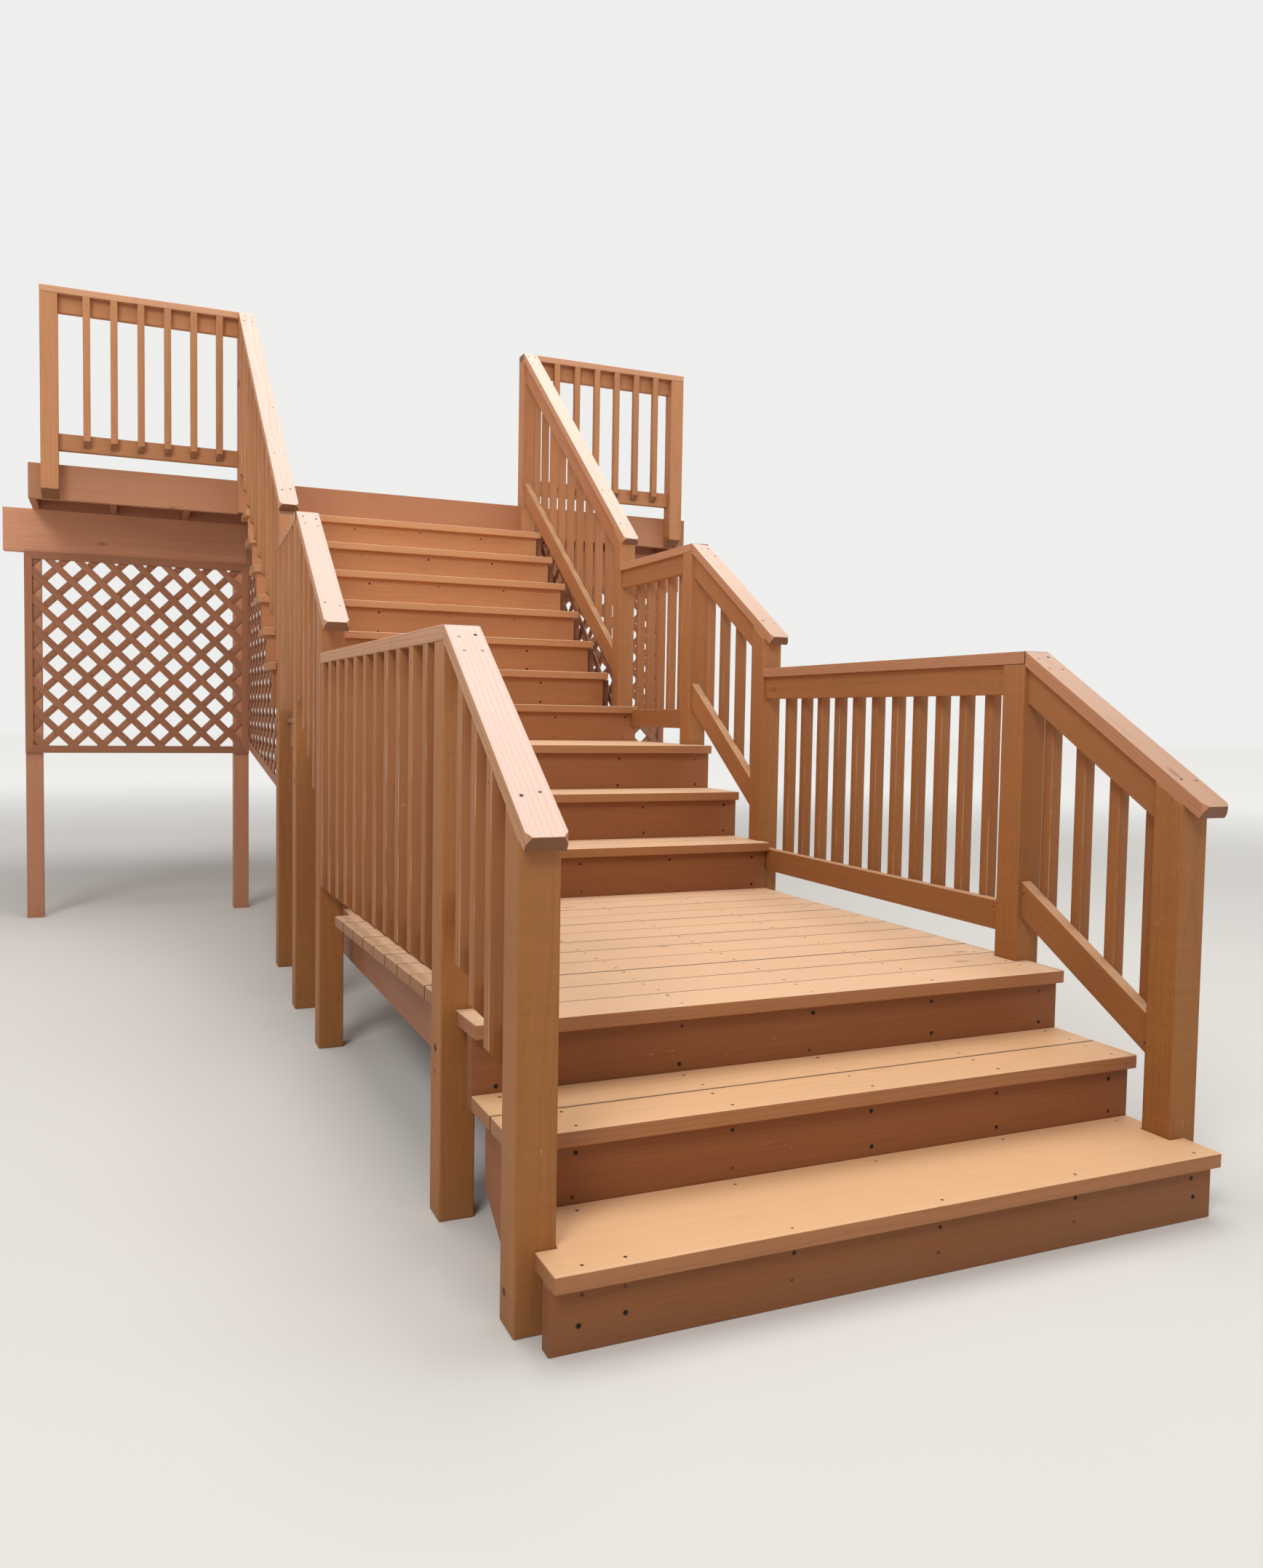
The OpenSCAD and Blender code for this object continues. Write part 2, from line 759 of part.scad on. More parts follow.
module guard_middle_right() {
    flight_guard(1, 2, middle_y, long_z, run_middle, rise_middle, over_middle_foot,
                 over_middle_head, middle_bars, ends_flight, bar_up);
}

module guard_short_right() {
    landing_guard(1, 3, short_z + rail_gap, short_bars, ends_landing, bar_up);
}

module guard_upper_right() {
    flight_guard(1, 4, upper_y, short_z, run_upper, rise_upper, over_upper_right,
                 over_upper_head, upper_bars, ends_flight, bar_up);
}

module guard_porch_left() {
    color(stain)
        porch_guard(-porch_left + post, -inner_x(-1, 5) - post, porch_bars, ends_porch_left);
}

module guard_porch_right() {
    color(stain)
        porch_guard(inner_x(1, 5) + post, porch_right - post, porch_bars, ends_porch_right);
}

module caps_left() {
    color(stain_light) side_caps(-1);
}

module caps_right() {
    color(stain_light) side_caps(1);
}

module porch_caps() {
    color(stain_light) {
        box(-porch_left, -inner_x(-1, 5), post_top_y, rim_y, porch_cap_z - board_t, porch_cap_z);
        box(inner_x(1, 5), porch_right, post_top_y, rim_y, porch_cap_z - board_t, porch_cap_z);
    }
}

module lattice_front_left() {
    color(stain) front_lattice(leg_left_x, -leg_mid_x, lattice_shift);
}

module lattice_front_right() {
    color(stain) front_lattice(leg_mid_x, leg_right_x + post, -lattice_shift);
}

module lattice_side_left() {
    color(stain) side_lattice(-1, -rise_upper - board_t - nosing, trim_w);
}

module lattice_side_right() {
    color(stain) side_lattice(1, over_upper_right - strip_gap, strip_w);
}

stringers_lower();
treads_lower();
risers_lower();
landing_long_boards();
landing_long_frame();
stringers_middle();
treads_middle();
risers_middle();
landing_short_boards();
landing_short_frame();
stringers_upper();
treads_upper();
risers_upper();
porch_boards();
porch_rim();
porch_joists();
porch_ledger();
porch_beam();
porch_legs();
posts_left();
posts_right();
porch_posts();
guard_lower_left();
guard_long_left();
guard_middle_left();
guard_short_left();
guard_upper_left();
guard_lower_right();
guard_long_right();
guard_middle_right();
guard_short_right();
guard_upper_right();
guard_porch_left();
guard_porch_right();
caps_left();
caps_right();
porch_caps();
lattice_front_left();
lattice_front_right();
lattice_side_left();
lattice_side_right();
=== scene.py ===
import math

import bmesh
import bpy
from mathutils import Matrix, Vector


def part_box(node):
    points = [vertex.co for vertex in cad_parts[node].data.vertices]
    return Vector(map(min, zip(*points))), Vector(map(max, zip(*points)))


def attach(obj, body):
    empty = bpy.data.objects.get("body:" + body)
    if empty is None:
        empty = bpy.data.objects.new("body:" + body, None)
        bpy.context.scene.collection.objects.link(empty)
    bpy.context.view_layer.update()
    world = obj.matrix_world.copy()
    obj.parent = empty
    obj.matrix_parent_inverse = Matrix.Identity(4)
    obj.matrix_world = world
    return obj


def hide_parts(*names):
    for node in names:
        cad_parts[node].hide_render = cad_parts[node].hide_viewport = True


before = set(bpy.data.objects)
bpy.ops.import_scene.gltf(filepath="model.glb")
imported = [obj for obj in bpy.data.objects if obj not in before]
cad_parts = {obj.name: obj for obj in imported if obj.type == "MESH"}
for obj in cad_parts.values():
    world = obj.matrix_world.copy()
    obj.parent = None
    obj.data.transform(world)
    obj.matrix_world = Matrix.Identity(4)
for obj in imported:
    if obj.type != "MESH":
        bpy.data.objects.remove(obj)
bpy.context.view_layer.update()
scene = bpy.context.scene


# The place
# A pale studio floor, which glows softly far out so that it meets the pale backdrop, under soft lamps
# from above, the front left and the right, and a camera that stands low in front, to the stairs' left.
def put(tree, kind, inputs=(), **settings):
    """Adds a node to a tree with its settings, and its inputs as values or links."""
    node = tree.nodes.new(kind)
    for key, value in settings.items():
        setattr(node, key, value)
    for name, value in inputs:
        socket = node.inputs[name]
        if isinstance(value, bpy.types.NodeSocket):
            tree.links.new(value, socket)
        elif socket.type == "RGBA":
            socket.default_value = (*value[:3], 1)
        else:
            socket.default_value = value
    return node


def maths_in(tree, kind, a, b=0.0):
    """The result of a Math node of this kind."""
    return put(tree, "ShaderNodeMath", [(0, a), (1, b)], operation=kind).outputs[0]


floor_half = 60.0
floor_mesh = bpy.data.meshes.new("studio_floor")
floor_mesh.from_pydata([(-floor_half, -floor_half, 0), (floor_half, -floor_half, 0),
                        (floor_half, floor_half, 0), (-floor_half, floor_half, 0)], [], [(0, 1, 2, 3)])
floor = bpy.data.objects.new("studio_floor", floor_mesh)
scene.collection.objects.link(floor)
floor_finish = bpy.data.materials.new("pale_floor")
floor_finish.use_nodes = True
floor_tree = floor_finish.node_tree
floor_cloud = put(floor_tree, "ShaderNodeTexNoise", [
    ("Vector", put(floor_tree, "ShaderNodeTexCoord").outputs["Object"]), ("Scale", 0.6)])
floor_tones = put(floor_tree, "ShaderNodeMix", [(0, floor_cloud.outputs["Fac"]), (6, (0.73, 0.72, 0.70)),
                                                (7, (0.77, 0.76, 0.74))], data_type="RGBA")
floor_reach = put(floor_tree, "ShaderNodeVectorMath", [
    (0, put(floor_tree, "ShaderNodeTexCoord").outputs["Object"]), (1, (0, 3, 0))], operation="DISTANCE")
glow_from, glow_to, glow_strength = 5.0, 18.0, 0.55
floor_glow = put(floor_tree, "ShaderNodeMapRange", [
    ("Value", floor_reach.outputs["Value"]), ("From Min", glow_from), ("From Max", glow_to),
    ("To Max", glow_strength)], interpolation_type="SMOOTHSTEP")
floor_shader = floor_tree.nodes["Principled BSDF"]
floor_shader.inputs["Emission Color"].default_value = (0.86, 0.86, 0.85, 1)
floor_tree.links.new(floor_glow.outputs["Result"], floor_shader.inputs["Emission Strength"])
floor_shader.inputs["Roughness"].default_value = 0.9
floor_shader.inputs["Specular IOR Level"].default_value = 0.1
floor_tree.links.new(floor_tones.outputs[2], floor_shader.inputs["Base Color"])
floor_mesh.materials.append(floor_finish)

world = bpy.data.worlds.new("studio")
scene.world = world
world.use_nodes = True
sky = world.node_tree
air = sky.nodes["Background"]
air.inputs["Color"].default_value = (1.0, 0.985, 0.96, 1)
air.inputs["Strength"].default_value = 0.45
backdrop = put(sky, "ShaderNodeBackground", [("Color", (0.86, 0.86, 0.85)), ("Strength", 1.0)])
ray = put(sky, "ShaderNodeLightPath")
direct = maths_in(sky, "MAXIMUM", ray.outputs["Is Camera Ray"], ray.outputs["Is Glossy Ray"])
seen = maths_in(sky, "MAXIMUM", direct, ray.outputs["Is Transmission Ray"])
both = put(sky, "ShaderNodeMixShader", [(0, seen), (1, air.outputs[0]), (2, backdrop.outputs[0])])
sky.links.new(both.outputs[0], sky.nodes["World Output"].inputs["Surface"])

for lamp_name, place, aim, size, power, tint in (
        ("key_lamp", (-7.0, -6.0, 9.5), (0, 2.4, 1.0), 5.0, 640, (1.0, 0.98, 0.94)),
        ("top_lamp", (0.5, 2.5, 11.0), (0, 2.8, 1.0), 7.0, 520, (1.0, 0.98, 0.95)),
        ("side_lamp", (9.0, -2.0, 6.0), (0, 2.6, 1.0), 5.0, 130, (0.96, 0.98, 1.0))):
    lamp = bpy.data.lights.new(lamp_name, "AREA")
    lamp.shape = "DISK"
    lamp.size = size
    lamp.energy = power
    lamp.color = tint
    lamp_object = bpy.data.objects.new(lamp_name, lamp)
    lamp_object.location = place
    lamp_object.rotation_euler = (Vector(aim) - Vector(place)).to_track_quat("-Z", "Y").to_euler()
    scene.collection.objects.link(lamp_object)

image_w, image_h = 1736, 2155
focal_px, centre_px_x, centre_px_y = 1577.43, 822.74, 1063.12
sensor_width = 36
eye_place = (-1.6968, -2.0902, 1.2732)
yaw, pitch, roll = math.radians(22.822), math.radians(-2.848), math.radians(0.892)
ahead = Vector((math.sin(yaw) * math.cos(pitch), math.cos(yaw) * math.cos(pitch), math.sin(pitch)))
level = Vector((math.cos(yaw), -math.sin(yaw), 0))
rightward = level * math.cos(roll) + level.cross(ahead) * math.sin(roll)
eye = bpy.data.objects.new("camera", bpy.data.cameras.new("camera"))
eye.data.sensor_fit = "HORIZONTAL"
eye.data.sensor_width = sensor_width
eye.data.lens = sensor_width * focal_px / image_w
eye.data.shift_x = (image_w / 2 - centre_px_x) / image_w
eye.data.shift_y = (centre_px_y - image_h / 2) / image_w
eye.data.clip_end = 300
eye.matrix_world = Matrix.Translation(eye_place) @ Matrix(
    (rightward, rightward.cross(ahead), -ahead)).transposed().to_4x4()
scene.collection.objects.link(eye)
scene.camera = eye
scene.view_settings.view_transform = "Standard"


# Stringers and landing frames
# Sawtooth boards of two-inch lumber carry each flight, and side boards and joists carry the landings.
# They are cut from framing lumber, nailed together and stained like the rest; most are in the shade.
weld_reach = 2e-5
flat_turn = math.radians(0.6)


def welded(node):
    """A copy of a frame node's mesh, with its loose triangles joined into the boards' flat faces."""
    work = bmesh.new()
    work.from_mesh(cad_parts[node].data)
    for layer in list(work.loops.layers.uv.values()):
        work.loops.layers.uv.remove(layer)
    bmesh.ops.remove_doubles(work, verts=work.verts, dist=weld_reach)
    bmesh.ops.dissolve_limit(work, angle_limit=flat_turn, verts=work.verts, edges=work.edges)
    bmesh.ops.recalc_face_normals(work, faces=work.faces)
    return work


class Board:
    """One board of a mesh: its faces, its middle, its half sizes and its directions, which are along
    the grain, across the wide face and through it."""

    def __init__(self, faces):
        slant = 0.3
        self.faces = faces
        self.verts = list({vert for face in faces for vert in face.verts})
        longest = max({edge for face in faces for edge in face.edges}, key=lambda e: e.calc_length())
        along = (longest.verts[1].co - longest.verts[0].co).normalized()
        if max(along, key=abs) < 0:
            along = -along
        sides = [face for face in faces if abs(face.normal.dot(along)) < slant]
        through = max(sides, key=lambda f: f.calc_area()).normal.copy()
        if through.z < -slant:
            through = -through
        through = (through - along * through.dot(along)).normalized()
        self.axes = (along, through.cross(along), through)
        spans = [[vert.co.dot(axis) for vert in self.verts] for axis in self.axes]
        self.half = [(max(span) - min(span)) / 2 for span in spans]
        self.middle = sum((axis * (max(span) + min(span)) / 2 for axis, span in zip(self.axes, spans)),
                          Vector())

    def at(self, s, t, u):
        """The point s along, t across and u through the board from its middle."""
        along, across, through = self.axes
        return self.middle + along * s + across * t + through * u

    def span(self, axis):
        """The lowest and highest coordinate along X, Y or Z, as 0, 1 or 2."""
        values = [vert.co[axis] for vert in self.verts]
        return min(values), max(values)


def boards_in(work):
    """The separate boards of a mesh."""
    left, boards = set(work.faces), []
    for face in work.faces:
        if face not in left:
            continue
        left.discard(face)
        group, waiting = [], [face]
        while waiting:
            one = waiting.pop()
            group.append(one)
            for edge in one.edges:
                for other in edge.link_faces:
                    if other in left:
                        left.discard(other)
                        waiting.append(other)
        boards.append(Board(group))
    return boards


def chance_of(place):
    """A number from 0 to 1 that always comes out the same for this place."""
    value = math.sin(place[0] * 12.9898 + place[1] * 78.233 + place[2] * 37.719) * 43758.5453
    return value - math.floor(value)


def mark_grain(work, rounded):
    """Writes each board's grain as attributes: the place along, across and through the board, its own
    number, its worn edges and its sawn ends. rounded are the faces of the rounded edges."""
    faces_along = 0.6
    grain = work.verts.layers.float_vector.new("grain")
    number = work.verts.layers.float.new("board")
    worn = work.verts.layers.float.new("edge")
    sawn = work.faces.layers.float.new("end")
    for board in boards_in(work):
        own = chance_of([round(c, 3) for c in board.middle])
        for vert in board.verts:
            vert[grain] = Vector([(vert.co - board.middle).dot(axis) for axis in board.axes])
            vert[number] = own
            vert[worn] = 1.0 if all(face in rounded for face in vert.link_faces) else 0.0
        for face in board.faces:
            face[sawn] = 1.0 if abs(face.normal.dot(board.axes[0])) > faces_along else 0.0


def as_piece(work, name):
    """Makes a mesh that is being worked on a piece of the scene."""
    mesh = bpy.data.meshes.new(name)
    work.to_mesh(mesh)
    work.free()
    piece = bpy.data.objects.new(name, mesh)
    scene.collection.objects.link(piece)
    return piece


def rounded_boards(work, name, edge=0.003, steps=2):
    """Rounds the boards' sharp edges, marks their grain and makes them a piece."""
    sharp_turn = math.radians(25)
    corners = [e for e in work.edges if e.is_manifold and e.calc_face_angle(0) > sharp_turn]
    made = bmesh.ops.bevel(work, geom=corners, offset=edge, offset_type="OFFSET", segments=steps,
                           profile=0.55, affect="EDGES", clamp_overlap=True)
    mark_grain(work, set(made["faces"]))
    return as_piece(work, name)


def stained(name, side, high, top, high_top=None, tone=0.10, figure=0.08, worn=0.35, flecks=0.3, saw=0.0,
            gloss=0.30, sawn=0.25):
    """Solid stain on cedar. side is its colour on upright faces near the ground, and high the lighter colour
    that they blend to higher up: painted sunlight, with shade painted low down and sun higher up. top and
    high_top are the same for faces that look up. tone is how much the boards differ, figure how far the
    grain shows, worn and flecks how much stain has rubbed off, saw how far the saw's marks show across the
    grain, and sawn how dark the boards' ends are."""
    finish = bpy.data.materials.new(name)
    finish.use_nodes = True
    tree = finish.node_tree

    def maths(kind, a, b=0.0):
        return maths_in(tree, kind, a, b)

    def between(value, low, high, to_low=0.0, to_high=1.0):
        return put(tree, "ShaderNodeMapRange", [
            ("Value", value), ("From Min", low), ("From Max", high), ("To Min", to_low),
            ("To Max", to_high)], interpolation_type="SMOOTHSTEP").outputs["Result"]

    def mixed(amount, a, b):
        return put(tree, "ShaderNodeMix", [(0, amount), (6, a), (7, b)], data_type="RGBA").outputs[2]

    def noise(scale, detail=2.0, rough=0.5):
        where = put(tree, "ShaderNodeMapping", [("Vector", log), ("Scale", scale)])
        return put(tree, "ShaderNodeTexNoise", [("Vector", where.outputs["Vector"]), ("Scale", 1.0),
                                                ("Detail", detail), ("Roughness", rough)])

    def own(attribute):
        return put(tree, "ShaderNodeAttribute", attribute_name=attribute).outputs

    number, edge, end, painted_shade_and_dirt = (own(key)["Fac"] for key in ("board", "edge", "end", "painted_shade_and_dirt"))
    facing = put(tree, "ShaderNodeSeparateXYZ", [(0, put(tree, "ShaderNodeNewGeometry").outputs["Normal"])])
    stand = put(tree, "ShaderNodeSeparateXYZ", [(0, put(tree, "ShaderNodeTexCoord").outputs["Object"])])

    # Each board is sawn from its own place in the log, and the rings run round the log's heart.
    chance = put(tree, "ShaderNodeTexWhiteNoise", [("W", number)], noise_dimensions="1D").outputs["Color"]
    heart = put(tree, "ShaderNodeVectorMath", [(0, chance), (1, (40.0, 0.16, 0.07)), (2, (0, -0.08, -0.13))],
                operation="MULTIPLY_ADD").outputs[0]
    log = put(tree, "ShaderNodeVectorMath", [(0, own("grain")["Vector"]), (1, heart)],
              operation="ADD").outputs[0]
    sway = noise((1.3, 5, 5), 1.0).outputs["Color"]
    bent = put(tree, "ShaderNodeVectorMath", [(0, sway), (1, (0.0, 0.045, 0.045)), (2, log)],
               operation="MULTIPLY_ADD").outputs[0]
    rings = put(tree, "ShaderNodeTexWave", [("Vector", bent), ("Scale", 30.0), ("Distortion", 1.2),
                                            ("Detail", 1.0), ("Detail Scale", 2.0)],
                wave_type="RINGS", rings_direction="X").outputs["Fac"]
    late_wood = between(rings, 0.72, 1.0)
    fibre = noise((7, 230, 230), 3.0, 0.6).outputs["Fac"]
    blotch = noise((1.6, 5, 5), 3.0, 0.55).outputs["Fac"]
    streak = noise((1.2, 42, 42), 2.0, 0.5).outputs["Fac"]
    teeth = noise((62, 3.5, 3.5), 4.0, 0.7).outputs["Fac"]
    knots = put(tree, "ShaderNodeTexVoronoi", [
        ("Vector", put(tree, "ShaderNodeMapping", [("Vector", log), ("Scale", (3.4, 7.5, 0.0))]).outputs[0]),
        ("Scale", 1.0)])
    rare = put(tree, "ShaderNodeSeparateColor", [(0, knots.outputs["Color"])]).outputs[0]
    knot = maths("MULTIPLY", between(knots.outputs["Distance"], 0.13, 0.05),
                 maths("GREATER_THAN", rare, 0.90))

    # The stain's colour
    fade = between(facing.outputs[2], 0.15, 0.75)
    # Upright faces blend from side to high between 0.5 and 2.5 m up, and tops from top to high_top: painted
    # sunlight on the upper parts and painted shade on the lower ones.
    painted_sun_climb = between(stand.outputs[2], 0.5, 2.5)
    upright = mixed(painted_sun_climb, side, high)
    colour = mixed(fade, upright, mixed(painted_sun_climb, top, high_top or top))
    parts = [(number, 0.5, tone), (blotch, 0.5, 0.22), (streak, 0.5, 0.16), (fibre, 0.5, 0.16),
             (late_wood, 0.3, -figure), (teeth, 0.5, saw)]
    shade = 0.0
    for value, middle, weight in parts:
        shade = maths("ADD", shade, maths("MULTIPLY", maths("SUBTRACT", value, middle), weight))
    calm = maths("SUBTRACT", 1.0, maths("MULTIPLY", fade, 0.45))
    shade = maths("ADD", maths("MULTIPLY", shade, calm), 1.0)
    colour = put(tree, "ShaderNodeVectorMath", [(0, colour), ("Scale", shade)], operation="SCALE").outputs[0]
    dark = (side[0] * 0.40, side[1] * 0.33, side[2] * 0.30)
    colour = mixed(maths("MULTIPLY", knot, 0.5), colour, dark)
    colour = mixed(maths("MULTIPLY", end, sawn), colour, dark)

    # Mud has splashed up from the ground and dried on the lowest hand's breadth.
    splash = maths("MULTIPLY", between(stand.outputs[2], 0.13, 0.0), between(blotch, 0.35, 0.6))
    colour = mixed(maths("MULTIPLY", splash, 0.22), colour, (0.165, 0.098, 0.060))

    # Where the stain has gone: rubbed edges and chips along the grain
    bare = (0.86, 0.66, 0.50)
    rub = between(noise((5, 28, 28), 3.0, 0.6).outputs["Fac"], 0.46, 0.64)
    colour = mixed(maths("MULTIPLY", maths("MULTIPLY", edge, rub), worn), colour, bare)
    chips = between(noise((26, 90, 90), 2.0, 0.7).outputs["Fac"], 0.71, 0.75)
    patch = between(noise((1.1, 6, 6), 1.0).outputs["Fac"], 0.52, 0.62)
    colour = mixed(maths("MULTIPLY", maths("MULTIPLY", chips, patch), flecks), colour, bare)
    # Painted shade: near-black in the screws' holes and down the gaps between boards, with dirt on some
    # gaps' edges
    colour = mixed(painted_shade_and_dirt, colour, (0.012, 0.007, 0.005))

    shader = tree.nodes["Principled BSDF"]
    tree.links.new(colour, shader.inputs["Base Color"])
    tree.links.new(between(blotch, 0.3, 0.7, 0.66, 0.50), shader.inputs["Roughness"])
    shader.inputs["Specular IOR Level"].default_value = gloss
    height = maths("ADD", maths("MULTIPLY", fibre, 0.7), maths("MULTIPLY", late_wood, 2.0 * figure))
    height = maths("ADD", height, maths("MULTIPLY", teeth, 2.0 * saw))
    bump = put(tree, "ShaderNodeBump", [("Strength", 0.35), ("Distance", 0.0012), ("Height", height)])
    tree.links.new(bump.outputs[0], shader.inputs["Normal"])
    return finish


def seat(piece, nodes, finish):
    """Gives a finished piece its stain and fixes it to the stairs, in place of these frame nodes."""
    piece.data.materials.clear()
    piece.data.materials.append(finish)
    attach(piece, "root")
    if nodes:
        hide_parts(*nodes)


frame_stain = stained("frame_stain", (0.29, 0.112, 0.053), (0.40, 0.165, 0.085), (0.42, 0.20, 0.10))
for node in ("stringers_lower", "stringers_middle", "stringers_upper", "landing_long_frame",
             "landing_short_frame"):
    seat(rounded_boards(welded(node), node + "_boards"), [node], frame_stain)


# Risers
# One board closes the front of each step. It stands behind the nosing, in the tread's shadow, and is
# screwed to every stringer near its top and bottom edges; the screws' holes are painted near-black as shade.
def start_tree(name, sockets):
    """An empty Geometry Nodes tree with these named inputs, and a lookup for the inputs' values."""
    tree = bpy.data.node_groups.new(name, "GeometryNodeTree")
    tree.interface.new_socket("Geometry", in_out="INPUT", socket_type="NodeSocketGeometry")
    for label, (kind, value) in sockets.items():
        socket = tree.interface.new_socket(label, in_out="INPUT", socket_type="NodeSocket" + kind)
        if value is not None:
            socket.default_value = value
    tree.interface.new_socket("Geometry", in_out="OUTPUT", socket_type="NodeSocketGeometry")
    return tree, put(tree, "NodeGroupInput").outputs


def keep(tree, geometry, name, value, kind="FLOAT", domain="POINT"):
    """Stores a value on the geometry as a named attribute."""
    return put(tree, "GeometryNodeStoreNamedAttribute", [(0, geometry), ("Name", name), ("Value", value)],
               data_type=kind, domain=domain).outputs[0]


def kept(tree, name, kind="FLOAT"):
    """The value of a named attribute."""
    return put(tree, "GeometryNodeInputNamedAttribute", [("Name", name)], data_type=kind).outputs[0]


def end_tree(tree, geometry, finish):
    """Ends a tree with its material."""
    made = put(tree, "GeometryNodeSetMaterial", [(0, geometry), ("Material", finish)])
    put(tree, "NodeGroupOutput", [(0, made.outputs[0])])


def grown(name, tree, places, facts, sizes):
    """Runs a tree over points and keeps what it makes as a plain piece. facts are the points' own
    vectors, and sizes are the tree's inputs, both by name."""
    mesh = bpy.data.meshes.new(name)
    mesh.from_pydata(places, [], [])
    for fact, vectors in facts.items():
        layer = mesh.attributes.new(fact, "FLOAT_VECTOR", "POINT")
        for datum, vector in zip(layer.data, vectors):
            datum.vector = vector
    piece = bpy.data.objects.new(name, mesh)
    maker = piece.modifiers.new("maker", "NODES")
    maker.node_group = tree
    for socket in tree.interface.items_tree:
        if socket.in_out == "INPUT" and socket.name in sizes:
            maker[socket.identifier] = sizes[socket.name]
    scene.collection.objects.link(piece)
    ready = bpy.context.evaluated_depsgraph_get()
    plain = bpy.data.meshes.new_from_object(piece.evaluated_get(ready), preserve_all_data_layers=True,
                                            depsgraph=ready)
    piece.modifiers.remove(maker)
    piece.data = plain
    for fact in facts:
        if fact in plain.attributes:
            plain.attributes.remove(plain.attributes[fact])
    return piece


screw_tree, screw_in = start_tree("screws", {"Radius": ("Float", 0.0045), "Bead": ("Float", 0.0005),
                                             "Seed": ("Int", 1), "Finish": ("Material", None)})
head = put(screw_tree, "GeometryNodeMeshCylinder", [
    ("Vertices", 10), ("Fill Segments", 3), ("Radius", screw_in["Radius"]), ("Depth", screw_in["Bead"])])
open_head = put(screw_tree, "GeometryNodeDeleteGeometry", [
    (0, head.outputs["Mesh"]), (1, head.outputs["Bottom"])], domain="FACE").outputs[0]
spot = put(screw_tree, "GeometryNodeInputPosition").outputs[0]
flat_spot = put(screw_tree, "ShaderNodeVectorMath", [(0, spot), (1, (1, 1, 0))],
                operation="MULTIPLY").outputs[0]
reach = put(screw_tree, "ShaderNodeVectorMath", [(0, flat_spot)], operation="LENGTH").outputs["Value"]
# The middle of each head is pressed in and marked to be painted near-black: painted shade for the screw's
# hole, less dark where the stain has partly filled it.
hole_share, hole_depth = 0.7, -0.4
in_hole = maths_in(screw_tree, "LESS_THAN", reach,
                   maths_in(screw_tree, "MULTIPLY", screw_in["Radius"], hole_share))
depth = maths_in(screw_tree, "MULTIPLY", screw_in["Bead"], hole_depth)
pressed = put(screw_tree, "GeometryNodeSetPosition", [
    (0, open_head), (1, in_hole), ("Offset", put(screw_tree, "ShaderNodeCombineXYZ", [
        (2, depth)]).outputs[0])]).outputs[0]
marked = keep(screw_tree, pressed, "painted_shade_and_dirt", in_hole)
turned = put(screw_tree, "FunctionNodeAlignRotationToVector", [
    ("Vector", kept(screw_tree, "out", "FLOAT_VECTOR"))], axis="Z").outputs[0]
girth = put(screw_tree, "FunctionNodeRandomValue", [(2, 0.8), (3, 1.15), ("Seed", screw_in["Seed"])],
            data_type="FLOAT").outputs[1]
screws_set = put(screw_tree, "GeometryNodeInstanceOnPoints", [
    ("Points", screw_in["Geometry"]), ("Instance", marked), ("Rotation", turned), ("Scale", girth)])
filler = put(screw_tree, "FunctionNodeRandomValue", [(2, 0.5), (3, 1.5), ("Seed", screw_in["Seed"])],
             data_type="FLOAT").outputs[1]
painted = keep(screw_tree, screws_set.outputs[0], "open", filler, domain="INSTANCE")
screws_real = put(screw_tree, "GeometryNodeRealizeInstances", [(0, painted)]).outputs[0]
darkness = put(screw_tree, "ShaderNodeMath", [(0, kept(screw_tree, "painted_shade_and_dirt")), (1, kept(screw_tree, "open"))],
               operation="MULTIPLY", use_clamp=True).outputs[0]
end_tree(screw_tree, keep(screw_tree, keep(screw_tree, screws_real, "painted_shade_and_dirt", darkness), "board", 0.5),
         screw_in["Finish"])


def screws(name, spots, finish, radius, seed):
    """Screws or nails at these places, each a place and the direction that its head faces."""
    heads = grown(name, screw_tree, [place for place, out in spots], {"out": [out for place, out in spots]},
                  {"Radius": radius, "Seed": seed, "Finish": finish})
    seat(heads, [], finish)


def middles(node, axis):
    """The middles of a node's boards along an axis, each place once."""
    same_line = 0.02
    work, found = welded(node), []
    for board in boards_in(work):
        low, high = board.span(axis)
        if all(abs((low + high) / 2 - other) > same_line for other in found):
            found.append((low + high) / 2)
    work.free()
    return sorted(found)


stringer_lines = middles("stringers_lower", 0)
screw_above_foot, screw_below_head, screw_off_end = 0.058, 0.026, 0.01
drift_along, drift_up, riser_screw = 0.012, 0.010, 0.0065
riser_stain = stained("riser_stain", (0.262, 0.095, 0.034), (0.60, 0.280, 0.130), (0.42, 0.20, 0.10),
                      tone=0.14, worn=0.2, flecks=0.2, gloss=0.2)
for node in ("risers_lower", "risers_middle", "risers_upper"):
    work = welded(node)
    riser_screws = []
    for board in boards_in(work):
        (x_low, x_high), (y_low, y_high), (z_low, z_high) = (board.span(axis) for axis in range(3))
        for x in stringer_lines:
            for z in (z_low + screw_above_foot, z_high - screw_below_head):
                if x_low + screw_off_end < x < x_high - screw_off_end:
                    drift = chance_of((x, y_low, z)) - 0.5
                    place = (x + drift_along * drift, y_low, z + drift_up * drift)
                    riser_screws.append((place, (0, -1, 0)))
    seat(rounded_boards(work, node + "_boards"), [node], riser_stain)
    screws(node + "_screws", riser_screws, riser_stain, radius=riser_screw, seed=3)


